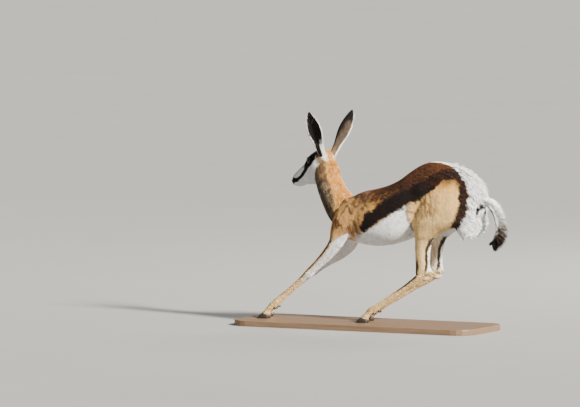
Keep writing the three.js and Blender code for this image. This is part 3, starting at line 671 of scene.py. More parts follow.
def off_patch(points):
    """Distance from the bare dark skin round the root of the tail, 1 at its edge."""
    x, y, z = points.T
    return off_path(np.stack([np.abs(y), z], 1), PATCH_UNDER_TAIL) + 9 * (x < 250)


def painted(colours, base, count, layers):
    """Colours laid over one another: each has a name and a mask, which is 1 where it covers all."""
    shade = np.tile(colours[base], (count, 1))
    for name, mask in layers:
        mask = np.clip(mask, 0, 1)[:, None]
        shade = shade * (1 - mask) + colours[name] * mask
    return shade


# The marks of each region, from points, normals, kinds of part, shares of its length and two soft noises
NOT_BODY = ["head", "tail", "cannon"]


def body_marks(spots):
    """The brown back, the thigh, the white belly, the dark band and the white rump."""
    points, normals, kinds, _, ragged, fine = spots
    x, y, z = points.T
    side = np.abs(y)
    is_head, is_neck, is_fore = (kinds == kind for kind in ("head", "neck", "fore"))
    is_haunch = np.isin(kinds, ["haunch", "ham"])
    body = ~np.isin(kinds, NOT_BODY)
    back = ramp(-14, 30, z - along(BACK_LINE, x) + 9 * ragged + 3 * fine) * ramp(-242, -180, x + 12 * ragged)
    yield "rufous", back * 0.95
    streak = ramp(-1.2, 1.4, waves(points * [0.3, 1, 1], 6, 8) + 0.5 * fine)
    away = off_path(np.stack([x, z], 1), BAND)
    deep_brown = ramp(-150, -30, x) * ramp(190, 60, x) * 0.7 + 0.25 + 0.35 * ramp(2.6, 1.0, away)
    yield "brown", back * (0.45 + 0.55 * streak) * deep_brown * 1.2
    elbow = np.linalg.norm((np.stack([x, z], 1) - [-136, 272]) / [34, 20], axis=1)
    yield "rufous", ramp(1.3, 0.5, elbow + 0.2 * ragged) * body * 0.8
    shoulder = body * ramp(-75, -120, x) * ramp(235, 258, z) * ~is_neck
    yield "cream", shoulder * (1 - back) * 0.35
    yield "orange", shoulder * (1 - back) * 0.35
    yield "ear", shoulder * 0.3
    yield "rufous", shoulder * 0.2
    # Painted shade: dark brown lines where the coat over the shoulder folds
    crease_shade = (ramp(0.5, 0.15, np.abs(waves(points * [1, 0.4, 0.35], 20, 17))) * ramp(-215, -190, x)
               * ramp(-60, -110, x))
    yield "brown", crease_shade * body * ramp(255, 290, z) * 0.75

    # Thigh
    thigh = is_haunch | ((x > 35) & (z < 400) & (side > 30))
    front = along(THIGH_LINE, z)
    thigh_on = ramp(-5, 7, x - front + 4 * fine) * ramp(425, 395, z + 6 * ragged) * thigh
    yield "tan", thigh_on
    yield "cream", thigh_on * (0.5 + 0.3 * np.maximum(ramp(14, 2, x - front), ramp(380, 290, z)))
    # Painted shade: rufous lines where the coat over the front and top of the thigh folds
    crease_shade = ramp(0.45, 0.1, np.abs(waves(points * [1, 0.4, 0.5] + [0, 0, 0.4] * x[:, None], 19, 18)))
    yield "rufous", crease_shade * ramp(185, 120, x) * thigh_on * ramp(290, 335, z) * 0.7
    # Painted shade: a brown line along the fold where the thigh meets the flank
    fold = ramp(7, 1, np.abs(x - front - 2)) * ramp(240, 270, z) * ramp(372, 350, z) * (side > 30) * body

    # Belly
    line = along(BELLY_LINE, x)
    belly = (ramp(5, -5, z - line + 5 * ragged + 2 * fine) * ramp(98, 76, x) * (1 - thigh_on) * ~is_fore
             * ~is_neck)
    under_belly = ramp(0.2, 0.5, -normals[:, 2]) * ramp(60, 30, side) * (z < 300) * (x > -140) * body
    belly = np.maximum(belly * ~is_haunch, under_belly)
    yield "white", belly
    inside = ramp(0.1, 0.5, -normals[:, 1] * np.sign(y)) * (z < 330) * (side > 8) * ~is_neck * ~is_head
    yield "white", inside * 0.9
    # Painted shade in the fold in front of the thigh
    yield "brown", fold * (1 - inside) * 0.6

    # Dark band, with the white rump behind it
    band = ramp(1.12, 0.82, away + 0.14 * ragged + 0.09 * fine) * body * ~is_neck * (side > 12)
    band *= 1 - is_fore * ramp(290, 262, z)
    yield "black", band * (1 - inside)
    yield "rufous", (band * (1 - inside) * ramp(0.4, 1.3, streak + 0.6 * fine)
                     * (0.1 + 0.42 * ramp(60, 170, x)))
    rump = white_rump_edge(points) + 3 * ragged + 2 * fine
    white = ramp(-3, 3, rump) * ramp(88, 96, x) * (z > 235) * body * ~is_fore
    yield "white", white
    yield "black", ramp(1.2, 0.9, off_patch(points) + 0.08 * fine)


def neck_marks(spots):
    """An orange nape with pale streaks, and a dark throat with pale flecks; the dark is partly painted shade
    and the pale partly painted highlight.
    """
    points, normals, kinds, _, ragged, fine = spots
    x, _, z = points.T
    is_neck = kinds == "neck"
    breast = (x < -190) & ~np.isin(kinds, [*NOT_BODY, "fore"])
    nape = ramp(-0.3, 0.75, normals @ unit([0.85, 0, 0.5])) * is_neck
    yield "orange", np.maximum(nape * 0.9, is_neck * 0.35)
    # The throat and the front of the breast, where they face forward and down: dark grey-brown, partly the
    # coat's brown and partly painted shade
    front = normals @ unit([-0.9, 0, -0.3])
    throat = ramp(-0.14, 0.12, front - along(THROAT_SHADE_EDGE, z) + 0.16 * ragged) * (is_neck | breast)
    yield "ear", throat * 0.7
    yield "brown", throat * 0.75
    # Pale flecks over the dark throat: partly white hair and partly painted highlight on lit tips; the white
    # down the very front is the throat's own
    flecks = ramp(0.5, 0.9, waves(points * [1, 1, 0.4] + [0, 0, 0.5] * x[:, None], 9, 14) + 0.3 * fine)
    flecks = np.maximum(flecks * ramp(340, 375, z), 0.9 * ramp(0.9, 0.97, front))
    yield "white", throat * flecks * 0.9
    yield "rufous", is_neck * ramp(0.7, 1.5, waves(points * [1, 1, 0.3], 12, 12)) * 0.38
    # Cream streaks on the sides and nape, away from the throat: partly the hair's pale tone and partly
    # painted highlight
    yield "cream", (is_neck * ramp(-0.2, 1.0, waves(points * [1, 1, 0.22], 8, 13)) * ramp(0.5, 0.1, front)
                    * 0.4)


def foreleg_marks(spots):
    """Tan in front, white behind and outside, cream below the knee."""
    points, normals, kinds, shares, ragged, fine = spots
    x, _, z = points.T
    is_fore = kinds == "fore"
    lower = ramp(0.12, 0.2, shares) * is_fore
    facing = normals @ unit([-0.75, 0, 0.65])
    yield "leg", lower
    under = ramp(4, -4, z - along(FORELEG_TAN, x) + 4 * ragged)
    pale = is_fore * under * ramp(0.56, 0.5, shares) * ramp(0.25, 0.05, facing + 0.1 * fine)
    yield "white", pale
    # Brown down the front of the upper foreleg, where the skin faces forward and up: partly the coat's darker
    # front and partly painted shade
    streak = (lower * ramp(0.56, 0.5, shares) * ramp(0.28, 0.42, facing + 0.1 * fine)
              * ramp(0.8, 0.62, facing + 0.1 * fine))
    yield "brown", streak * 0.9
    yield "tan", is_fore * ramp(0.86, 0.95, shares) * 0.5


def hind_leg_marks(spots):
    """Tan outside, a dark line of painted shade in the groove down the back of the shank with a white edge
    behind it, and painted shade down the front of the lower leg.
    """
    points, normals, kinds, shares, _, fine = spots
    x, _, z = points.T
    is_cannon = kinds == "cannon"
    shank = (kinds == "haunch") & (z < 262)
    deep = (x - along(SHANK_FRONT, z)) / along(SHANK_DEPTH, z)
    yield "leg", shank * 0.6
    # Painted shade in the hollow between the bone and the tendon at the back of the shank
    yield "black", shank * ramp(0.1, 0.06, np.abs(deep - 0.8 + 0.02 * fine)) * ramp(140, 160, z) * 0.95
    yield "white", shank * ramp(0.87, 0.91, deep) * ramp(146, 160, z)
    yield "leg", is_cannon * 1.0
    # Painted shade down the front of the cannon, below the hock
    front_shade_line = (is_cannon * ramp(0.2, 0.45, normals @ unit([-0.5, 0, 0.86])) * ramp(0.42, 0.3, shares)
                  * ramp(0.02, 0.1, shares))
    yield "black", front_shade_line * 0.9
    # Painted shade on the front of the hock
    hock = shank * ramp(200, 175, z + 4 * fine) * ramp(0.1, 0.3, -normals[:, 0])
    yield "black", hock * 0.9
    yield "cream", is_cannon * ramp(0.4, 0.8, normals @ unit([0.5, 0, -0.86])) * 0.5
    yield "tan", is_cannon * ramp(0.85, 0.93, shares) * 0.6


def tail_marks(spots):
    """White above, brown and then black at the tuft, with a dark line down the inner side that is partly
    painted shade.
    """
    _, normals, kinds, shares, _, fine = spots
    is_tail = kinds == "tail"
    ways = PART_WAYS[PART_NAMES.index("tail")]
    nearest = np.clip(np.round(shares * (len(ways) - 1)).astype(int), 0, len(ways) - 1)
    outer = np.cross(ways[nearest], [0, 1.0, 0])
    under = is_tail * ramp(-0.1, -0.4, (normals * outer).sum(1)) * ramp(0.1, 0.18, shares)
    yield "white", is_tail * 1.0
    yield "ear", is_tail * ramp(0.6, 0.8, shares + 0.07 * fine)
    yield "brown", is_tail * ramp(0.72, 0.86, shares + 0.06 * fine) * 0.8
    yield "black", is_tail * ramp(0.84, 0.91, shares + 0.03 * fine)
    # The dark line down the inner side, which faces the body: partly dark hair and partly painted shade
    yield "black", under * ramp(0.72, 0.66, shares)
    yield "white", under * ramp(0.66, 0.72, shares) * ramp(0.97, 0.92, shares) * 0.8


def head_marks(spots):
    """White face, brown forehead darkened with painted shade, a dark stripe from the eye to the corner of the
    mouth.
    """
    points, _, kinds, _, ragged, fine = spots
    f, o, u = in_head(points).T
    o = np.abs(o)
    top = along(HEAD_TOP, f)
    mask = (kinds == "head").astype(float)
    # Grey-brown behind the cheek and under the ear: partly the coat's brown and partly painted shade where
    # the head meets the neck
    behind = ramp(-4, 8, f + 3 * ragged) * ramp(30, 14, u) * ramp(4, 16, o) * np.isin(kinds, ["head", "neck"])
    yield "ear", behind * 0.75
    yield "brown", behind * ramp(-0.4, 0.8, ragged + 0.4 * fine) * 0.6
    cheek = mask * ramp(20, 35, f + 0.3 * (u < 0) * np.abs(u) + 4 * ragged)
    yield "white", cheek
    ear_root = np.linalg.norm((np.stack([f, o, u], 1) - [0, 26, 12]) / [12, 12, 13], axis=1)
    yield "white", ramp(1.25, 0.7, ear_root + 0.3 * fine) * 0.8
    forehead = ramp(-24, -16, u - top + 2.5 * fine) * ramp(106, 92, f + 2 * fine)
    yield "brown", mask * forehead * ramp(8, 24, f + 3 * ragged)
    # Painted shade: the upper head, from above the eyes forward, goes near black over its brown
    yield "black", mask * forehead * ramp(26, 44, f + 3 * ragged) * 0.85
    # Brown along the top of the muzzle: partly the coat's brown and partly painted shade along the bridge of
    # the nose
    muzzle = ramp(-8, -4.5, u - top + fine) * ramp(78, 96, f)
    yield "brown", mask * muzzle * 0.95
    stripe = off_path(np.stack([f, u], 1), FACE_STRIPE)
    yield "black", mask * ramp(1.15, 0.88, stripe + 0.08 * fine)
    yield "nose", mask * ramp(158, 166, f + 1.5 * fine) * ramp(-30, -22, u)
    yield "nose", mask * ramp(1.7, 0.9, np.abs(u - along(MOUTH, f))) * ramp(130, 158, f)
    yield "white", mask * ramp(0, -4, u - along(MOUTH, f) + 2) * ramp(128, 140, f) * 0.8


MARKS = (body_marks, neck_marks, foreleg_marks, hind_leg_marks, tail_marks, head_marks)


def coat_colours(points, normals, kinds, shares, colours):
    """The markings of skin and coat, with painted shade and highlight among them: a colour for every point.
    """
    spots = (points, normals, kinds, shares, waves(points, 16, 3), waves(points, 7, 4))
    layers = (layer for marks in MARKS for layer in marks(spots))
    return painted(colours, "tan", len(points), layers)


def sculpted_head(points, normals):
    """Lids, nostrils and the line of the mouth, pressed into the skin of the head."""
    for _, hand in HANDS:
        centre = eye_centre(hand)
        way, side, up = eye_axes(hand)
        offset = points - centre
        w, s, u = offset @ way, offset @ side, offset @ up
        far = np.linalg.norm(offset, axis=1)
        opening = (s / EYE_SLIT[0]) ** 2 + (np.abs(u) / EYE_SLIT[1]) ** 1.6
        ahead = (w > 2) & (far < 20)
        hole = ahead & (opening < 1)
        points[hole] = centre + unit(offset[hole]) * (10.2 + 2.6 * opening[hole, None] ** 6)
        lid = ahead & ~hole & (far < 14.4)
        points[lid] = centre + unit(offset[lid]) * np.maximum(far[lid, None], 13.3)
        # The bony brow, the dip of the nose ahead of it and the groove over the upper lid
        f, o, u = in_head(points).T
        high = ramp(-20, -4, u - along(HEAD_TOP, f)) * (o * hand > 0)
        form = 1.6 * np.exp(-((f - 74) / 13) ** 2) - 2.8 * np.exp(-((f - 110) / 14) ** 2)
        points += normals * (high * form * ramp(0, 10, o * hand))[:, None]
        fold = np.exp(-((np.sqrt(np.maximum(opening, 0)) - 1.75) / 0.16) ** 2) * (u > -3) * ahead
        points -= normals * (1.0 * fold)[:, None]
        nostril = head_point(NOSTRIL_AT[0] + 1, hand * NOSTRIL_AT[1], NOSTRIL_AT[2])
        local = (points - nostril) @ HEAD_TURN
        f, o, u = local[:, 0], local[:, 1] * hand, local[:, 2]
        slot = np.exp(-(f / 5.5) ** 2 - ((o + 0.35 * f) / 2.6) ** 2 - ((u - 0.5 * f - 0.4 * o) / 2.0) ** 2)
        rim = np.exp(-(f / 8) ** 2 - (o / 5.5) ** 2 - (u / 5) ** 2) - slot
        points += normals * (0.9 * rim - 4.2 * slot)[:, None]
    f, o, u = in_head(points).T
    off_line = u - along(MOUTH, f)
    groove = np.exp(-(off_line / 1.1) ** 2) * ramp(116, 122, f)
    lips = np.exp(-((np.abs(off_line) - 2.6) / 1.6) ** 2) * ramp(118, 130, f)
    points += normals * (0.5 * lips - 1.7 * groove)[:, None]
    return points


def skin_depth(points, kinds, shares):
    """How far the skin lies inside the solids, which reach to the tips of the coat."""
    depth = np.full(len(points), 2.6)
    depth[kinds == "neck"] = 2.4
    depth[kinds == "head"] = 0.9
    tail = kinds == "tail"
    depth[tail] = 0.8 + 4 * ramp(0.5, 0.3, shares[tail])
    depth[kinds == "cannon"] = 0.8
    fore = kinds == "fore"
    depth[fore] = 0.8 + 1.8 * ramp(0.35, 0.15, shares[fore])
    haunch = kinds == "haunch"
    depth[haunch] = 0.9 + 1.7 * ramp(170, 290, points[haunch, 2])
    return depth


Skin = namedtuple("Skin", "piece points normals edges kinds shares label")
ROUND_PARTS = {"trunk": 72, "neck": 56, "head": 56, "tail": 24, "haunch": 40, "ham": 32, "fore": 28,
               "cannon": 28}


def body_skin():
    """One skin over the whole body: parts fused by a remesh, smoothed where they meet, then sculpted."""
    shapes = [loft(CLOSED_PARTS[name], ROUND_PARTS[kind]) for name, kind in zip(PART_NAMES, PART_KINDS)]
    head_axes = (head_way(1, 0, 0), head_way(0, 1, 0), head_way(0, 0, 1))
    for _, hand in HANDS:
        shapes.append(ovoid(head_point(EYE_AT[0], hand * (EYE_AT[1] - 5), EYE_AT[2]), head_axes, BROW))
        shapes.append(ovoid(eye_centre(hand), head_axes, [EYE_RADIUS + 1.6] * 3))
    raw = new_piece("raw_skin", *merged(shapes), None)
    remesh = raw.modifiers.new("fuse", "REMESH")
    remesh.mode = "VOXEL"
    remesh.voxel_size = bpy.context.scene.lamb_coat.skin_mesh
    seen = raw.evaluated_get(bpy.context.evaluated_depsgraph_get())
    mesh = bpy.data.meshes.new_from_object(seen)
    bpy.data.objects.remove(raw)

    # The head's faces are split once more for the lids, nostrils and lips
    f, o, u = in_head(from_frame(mesh)).T
    fine = (f > 34) & (np.abs(o) < 60) & (np.abs(u) < 90)
    whole = bmesh.new()
    whole.from_mesh(mesh)
    whole.verts.ensure_lookup_table()
    chosen = [e for e in whole.edges if fine[e.verts[0].index] and fine[e.verts[1].index]]
    bmesh.ops.subdivide_edges(whole, edges=chosen, cuts=1, use_grid_fill=True)
    whole.to_mesh(mesh)
    whole.free()

    points = from_frame(mesh)
    edges = read(mesh.edges, "vertices", 2, np.int32)
    reach, share, _ = locate(points)
    label = reach.argmin(0)
    kinds = np.array(PART_KINDS)[label]
    shares = share[label, np.arange(len(points))]
    bulk = np.isin(kinds, ["trunk", "neck", "haunch", "ham"]) | ((kinds == "fore") & (shares < 0.3))
    bulk &= ~((kinds == "haunch") & (points[:, 2] < 235)) & (in_head(points)[:, 0] < 10)
    softness = spread(bulk.astype(float), edges, 12) * 0.5
    points = spread(points, edges, 46, softness)
    points = spread(points, edges, 3, 0.45)

    def set_points():
        mesh.vertices.foreach_set("co", in_frame(points).astype(np.float32).ravel())
        mesh.update()
        return vertex_normals(mesh)

    normals = set_points()
    depth = spread(skin_depth(points, kinds, shares), edges, 12)
    stand_out = np.zeros(len(points))
    for x, out, z, along_x, along_y, along_z, height in RELIEF:
        for _, hand in HANDS:
            away = ((points - [x, hand * out, z]) / [along_x, along_y, along_z]) ** 2
            stand_out += height * np.exp(-away.sum(1) * 1.2)
    points = points + normals * (stand_out - depth)[:, None]
    normals = set_points()
    points = sculpted_head(points, normals)
    normals = set_points()
    mesh.name = "body_skin"
    mesh.shade_smooth()
    return Skin(placed("body_skin", mesh), points, normals, edges, kinds, shares, label)


# Where each part's own unrolled surface lies on the coat's map: corner, width and height
CHARTS = {
    "trunk": (0, 0, 0.6, 0.5), "neck": (0.6, 0, 0.4, 0.25), "head": (0.6, 0.25, 0.4, 0.25),
    "fore_left": (0, 0.5, 0.3, 0.2), "fore_right": (0, 0.7, 0.3, 0.2),
    "haunch_left": (0.3, 0.5, 0.35, 0.2), "haunch_right": (0.3, 0.7, 0.35, 0.2),
    "ham_left": (0.65, 0.5, 0.17, 0.2), "ham_right": (0.65, 0.7, 0.17, 0.2), "tail": (0.82, 0.5, 0.18, 0.4),
    "cannon_left": (0, 0.9, 0.3, 0.1), "cannon_right": (0.3, 0.9, 0.3, 0.1),
    "ear_left": (0.6, 0.9, 0.2, 0.1), "ear_right": (0.8, 0.9, 0.2, 0.1),
}
PATCH = 0.003  # how long and wide a tuft is on the map
MOST_TRIANGLES = 200000  # in one piece of the coat


def on_chart(names, shares, turns):
    """Places on the coat's map for a share of a part's length and a turn round it."""
    cells = np.array([CHARTS[n] for n in names])
    u = cells[:, 0] + cells[:, 2] * (0.02 + 0.96 * shares)
    v = cells[:, 1] + cells[:, 3] * (0.02 + 0.96 * (turns / (2 * math.pi) + 0.5))
    return np.stack([u, v], 1)


def roots_on(points, faces, density, draw):
    """Places over triangles, as many per square millimetre as density says.

    Gives the corners round each place, and what blends the corners' numbers there.
    """
    corners = points[faces]
    area = np.linalg.norm(np.cross(corners[:, 1] - corners[:, 0], corners[:, 2] - corners[:, 0]), axis=1) / 2
    weight = np.cumsum(area * density[faces].mean(1))
    count = int(weight[-1])
    picks = np.searchsorted(weight, (np.arange(count) + draw.random(count)) / count * weight[-1])
    picks = np.minimum(picks, len(faces) - 1)
    a, b = draw.random(count), draw.random(count)
    over = a + b > 1
    a[over], b[over] = 1 - a[over], 1 - b[over]
    corners, parts = faces[picks], np.stack([1 - a - b, a, b], 1)

    def blend(values):
        return (values[corners] * (parts if values.ndim == 1 else parts[:, :, None])).sum(1)

    return corners, blend


# The height of a tuft over its root's skin, as shares of its rise, and its width, along its length
SHORT_TUFT = ((0, -0.5, 0.8), (0.45, 0.8, 1.0), (1, 1.0, 0))
LONG_TUFT = ((0, -0.3, 0.75), (0.3, 0.55, 1.0), (0.68, 0.92, 0.75), (1, 1.0, 0))


def tuft_piece(name, slot, material, roots, normals, lies, length, width, rise, round_to, colours, tips,
               places, shape, thick=0.32):
    """A piece of closed, tapered, three-sided tufts that lie along the body."""
    count = len(roots)
    side = unit(np.cross(normals, lies))
    levels, paints = [], []
    length, width, rise = (np.broadcast_to(v, (count,))[:, None] for v in (length, width, rise))
    for share, high, wide in shape:
        middle = (roots + lies * length * share
                  + normals * (rise * high - (length * share) ** 2 / (2 * round_to)))
        paint = colours + (tips - colours) * share
        if wide:
            half = width * wide / 2
            levels += [middle - side * half, middle + side * half, middle + normals * half * 2 * thick]
            paints += [paint] * 3
        else:
            levels.append(middle)
            paints.append(paint)
    points = np.stack(levels, 1)
    per = points.shape[1]
    faces = [[0, 1, 2]]
    for low in range(0, per - 4, 3):
        for k in range(3):
            a, b = low + k, low + (k + 1) % 3
            faces += [[a, b + 3, b], [a, a + 3, b + 3]]
    top = per - 4
    faces += [[top + k, per - 1, top + (k + 1) % 3] for k in range(3)]
    faces = np.array(faces)
    if len(faces) * count >= MOST_TRIANGLES:
        raise RuntimeError(f"{name} would have {len(faces) * count} triangles")
    every = (faces[None] + (np.arange(count) * per)[:, None, None]).reshape(-1, 3)
    piece = new_piece(name, points.reshape(-1, 3), every, slot)
    dress(piece, np.stack(paints, 1).reshape(-1, 3), material)
    spots = np.zeros((per, 2))
    for i, (share, _, _) in enumerate(shape):
        for k in range(3):
            if 3 * i + k < per:
                spots[3 * i + k] = [(share - 0.5) * PATCH, (k / 2 - 0.5) * PATCH]
    spots[-1] = [PATCH / 2, 0]
    uv = (places[:, None, :] + spots[None]).reshape(-1, 2)[every.ravel()]
    baked = piece.data.uv_layers.new(name="OFBake")
    baked.data.foreach_set("uv", np.clip(uv, 0, 1).astype(np.float32).ravel())


def turned_about(vectors, normals, angle):
    """Vectors in the skin's plane, turned in it."""
    return vectors * np.cos(angle)[:, None] + np.cross(normals, vectors) * np.sin(angle)[:, None]


def lie_of_coat(skin):
    """The way the hair points, for every point of the skin."""
    points = skin.points
    lie = np.zeros_like(points)
    for i, (kind, ways) in enumerate(zip(PART_KINDS, PART_WAYS)):
        here = skin.label == i
        way = ways[np.round(skin.shares[here] * (len(ways) - 1)).astype(int)]
        if kind == "trunk":
            way = np.array([1, 0, -0.12]) + np.outer(ramp(20, 60, np.abs(points[here, 1])), [0, 0, -0.4])
        elif kind == "neck":
            way = -way + np.array([0.15, 0, 0])
        elif kind == "head":
            way = np.tile(head_way(-1, 0, -0.15), (here.sum(), 1))
        elif kind in ("haunch", "ham"):
            down = ramp(430, 270, points[here, 2])[:, None]
            way = np.array([1, 0, -0.5]) * (1 - down) + np.array([0.22, 0, -1]) * down
        lie[here] = way
    x, y, z = points.T
    rear = (ramp(205, 245, x) * (z > 262) * np.isin(skin.kinds, REAR))[:, None]
    fan = np.stack([np.full(len(points), 0.75), 0.4 * np.tanh(y / 45), -0.35 - 0.2 * ramp(300, 400, z)], 1)
    lie = unit(lie) * (1 - rear) + fan * rear
    return flat_to(spread(flat_to(lie, skin.normals), skin.edges, 16), skin.normals)


REAR = ["trunk", "ham", "haunch"]
# Coat by kind of part: tufts per square millimetre, length, width and rise
COAT = {
    "trunk": (0.2, 16, 1.6, 1.3), "haunch": (0.2, 15, 1.6, 1.2), "ham": (0.2, 15, 1.6, 1.5),
    "neck": (0.24, 17, 1.5, 1.6), "head": (0.4, 6.5, 0.95, 0.5), "tail": (0.5, 12, 1.6, 1.2),
    "fore": (0.26, 10, 1.25, 0.7), "cannon": (0.26, 9, 1.2, 0.6),
}
RUMP_COAT = (0.42, 19, 1.7, 4.5)  # the same for the white rump
# Pieces of the coat and their slots
COAT_SLOTS = {
    "rump": "white_coat", "tail": "tail_coat", "head": "face_coat", "neck": "tan_coat",
    "foreleg": "leg_coat", "hindleg": "leg_coat", "thigh": "tan_coat", "shoulder": "tan_coat",
    "flank": "tan_coat",
}
# Fringe of the tail: share of its length, and the length of the hair or its lean towards the tip
FRINGE_LENGTH = [[0.1, 9], [0.2, 14], [0.36, 27], [0.5, 33], [0.67, 40], [0.78, 44], [0.89, 40], [1, 30]]
FRINGE_LEAN = [[0.1, 0.9], [0.2, 0.8], [0.36, 0.45], [0.5, 0.3], [0.67, 0.45], [0.78, 0.5], [0.89, 0.45],
               [1, 0.5]]
# How far the clumps of each part run along the hair: a share of their place on each axis
CLUMPS = {
    "trunk": (0.35, 1, 1), "neck": (1, 1, 0.3), "haunch": (1, 1, 0.35), "ham": (1, 1, 0.35),
    "fore": (0.5, 1, 0.5), "cannon": (0.5, 1, 0.5),
}


def varied(colours, points, draw, amount, kinds=("trunk",)):
    """Each tuft's own tone: streaks along the hair, broader clumps, and a little by chance."""
    runs = np.array([CLUMPS.get(kind, (1, 1, 1)) for kind in kinds])
    tone = 1 + amount * (0.9 * waves(points * runs, 7, 31) + 0.5 * waves(points, 26, 32)
                         + 0.4 * draw.normal(size=len(points)))
    warm = 1 + 0.03 * waves(points, 18, 33)[:, None] * np.array([1, 0, -1])
    return np.clip(colours * tone[:, None] * warm, 0.003, 0.95)


def coat_sizes(points, edges, kinds):
    """Density, length, width and rise of the coat for every point, and how far it is white rump."""
    x, _, z = points.T
    table = np.array([COAT[k] for k in kinds])
    density, length, width, rise = (spread(table[:, k], edges, 8) for k in range(4))
    white_rump = ramp(-12, 14, white_rump_edge(points) - 25 * ramp(215, 140, x))
    white_rump *= (x > 150) * (z > 245) * np.isin(kinds, REAR)
    round_patch = ramp(1.1, 4.2, off_patch(points))
    density = density + (RUMP_COAT[0] - density) * white_rump
    length = length + (RUMP_COAT[1] - length) * white_rump * round_patch
    width = width + (RUMP_COAT[2] - width) * white_rump
    rise = rise + (RUMP_COAT[3] - rise) * white_rump * ramp(110, 220, x) * round_patch
    low_leg = ((kinds == "haunch") & (z < 260)).astype(float)
    low_leg = np.maximum(spread(low_leg, edges, 8), 0)
    length -= (4.5 + 3 * ramp(175, 150, z)) * low_leg
    rise -= 0.7 * low_leg
    head = in_head(points)
    fine_face = (kinds == "head") * ramp(60, 120, head[:, 0])
    length -= 2.2 * fine_face
    width -= 0.35 * fine_face
    bare = (kinds == "head") & ((head[:, 0] > 168) & (head[:, 2] > -22))
    for _, hand in HANDS:
        way, side, up = eye_axes(hand)
        offset = points - eye_centre(hand)
        opening = (((offset @ side) / (EYE_SLIT[0] + 1.5)) ** 2
                   + (np.abs(offset @ up) / (EYE_SLIT[1] + 1.5)) ** 1.6)
        bare |= (offset @ way > 0) & (opening < 1.05) & (np.linalg.norm(offset, axis=1) < 22)
    return np.where(bare | (z < -6), 0, density), length, width, rise, white_rump


def coat_regions(root, kind, fluffy):
    """The piece of the coat that each tuft goes to."""
    region = np.full(len(root), "flank", dtype="U8")
    region[root[:, 0] < -40] = "shoulder"
    region[np.isin(kind, ["haunch", "ham"])] = "thigh"
    region[(kind == "cannon") | ((kind == "haunch") & (root[:, 2] < 250))] = "hindleg"
    for name in ("neck", "head", "tail"):
        region[kind == name] = name
    region[kind == "fore"] = "foreleg"
    region[(fluffy > 0.45) & (kind != "tail")] = "rump"
    return region


def grow_coat(skin, palette, material):
    """The coat over the whole body, as joined meshes of tufts, region by region."""
    draw = np.random.default_rng(20)
    piece, points, normals, edges, kinds, shares, label = skin
    density, length, width, rise, white_rump = coat_sizes(points, edges, kinds)
    every_turn = locate(points)[2]
    turns = every_turn[label, np.arange(len(points))]
    density = density * bpy.context.scene.lamb_coat.density
    corners, blend = roots_on(points, triangles(piece.data), density, draw)
    root, normal = blend(points), unit(blend(normals))
    lies = flat_to(blend(lie_of_coat(skin)), normal)
    swirl = 0.16 * waves(root, 22, 41) + 0.12 * waves(root, 8, 42) + 0.1 * draw.normal(size=len(root))
    lies = turned_about(lies, normal, swirl)
    long, wide, high = blend(length), blend(width), blend(rise)
    long *= draw.uniform(0.8, 1.2, len(root))
    wide *= draw.uniform(0.8, 1.2, len(root))
    high *= draw.uniform(0.6, 1.3, len(root))
    fluffy = blend(white_rump)
    clump = waves(root, 13, 43)
    spike = fluffy * (draw.random(len(root)) > 0.94)
    high *= 1 + fluffy * 0.15 * clump + 1.7 * spike
    wide *= 1 + 0.8 * spike
    long *= 1 + fluffy * 0.12 * clump + 0.15 * spike
    first = corners[:, 0]
    kind = kinds[first]
    place = on_chart([PART_NAMES[i] for i in label[first]], blend(shares), turns[first])
    colours = varied(coat_colours(root, normal, kind, blend(shares), palette), root, draw, 0.15, kind)
    region = coat_regions(root, kind, fluffy)
    for name, slot in COAT_SLOTS.items():
        rump = name == "rump"
        for word, hand in HANDS:
            on = (region == name) & (root[:, 1] * hand >= 0)
            tuft_piece(f"coat_{name}_{word}", slot, material, root[on], normal[on], lies[on], long[on],
                       wide[on], high[on], 75 if rump else 120, colours[on] * (0.95 if rump else 0.88),
                       np.clip(colours[on] * 1.06, 0, 0.95), place[on], LONG_TUFT if rump else SHORT_TUFT)


def tail_fringe(palette, material):
    """Long hair down the outer side of the tail, white above, brown and then black at the tuft."""
    draw = np.random.default_rng(5)
    count = bpy.context.scene.lamb_coat.fringe
    rows = smooth(TAIL, 400)
    share = 0.1 + 0.9 * draw.random(count) ** 0.8
    at = np.minimum((share * 399).astype(int), 398)
    way = unit(rows[at + 1, :3] - rows[at, :3])
    outer = np.cross(way, [0, 1.0, 0])
    around = draw.normal(size=count) * 0.5
    normal = outer * np.cos(around)[:, None] + np.array([0, 1.0, 0]) * np.sin(around)[:, None]
    half, reach = rows[at, 5], rows[at, 4]
    root = rows[at, :3] + normal * (np.minimum(half, reach) - 1.4)[:, None]
    long, lean = along(FRINGE_LENGTH, share), along(FRINGE_LEAN, share)
    clump = waves(np.stack([share * 300, share * 0, share * 0], 1), 9, 61)
    lie = outer + way * (lean + 0.2 * clump + 0.16 * draw.normal(size=count))[:, None] + normal * 0.2
    lie[:, 1] += 0.12 * draw.normal(size=count)
    lie = unit(lie)
    face = flat_to(np.tile([0, 1.0, 0], (count, 1)) + 0.5 * draw.normal(size=(count, 3)), lie)
    turn = np.arctan2((normal * outer).sum(1), normal[:, 1])
    kinds = np.full(count, "tail")
    colours = varied(coat_colours(root, normal, kinds, share, palette), root, draw, 0.14)
    tips = coat_colours(root, normal, kinds, np.minimum(share + 0.13, 1), palette)
    place = on_chart(["tail"] * count, share, turn)
    long = long * draw.uniform(0.45, 1.0, count) * (0.92 + 0.1 * clump)
    high = 1.2 * draw.normal(size=count)
    tuft_piece("tail_fringe", "tail_coat", material, root, face, lie, long, 1.7, high, 400, colours, tips,
               place, LONG_TUFT, 0.25)


def ear_frame(hand):
    """An ear's root, the way to its tip, the way that its cup opens and the way across it."""
    axis = head_way(EAR_WAY[0], hand * EAR_WAY[1], EAR_WAY[2])
    forward, out, up = EAR_OPEN_LEFT if hand == LEFT else EAR_OPEN_RIGHT
    opening = flat_to(head_way(forward, hand * out, up), axis)
    root = head_point(EAR_ROOT[0], hand * EAR_ROOT[1], EAR_ROOT[2])
    return root, axis, opening, np.cross(opening, axis)


EAR_SKIN_THICK = 1.7


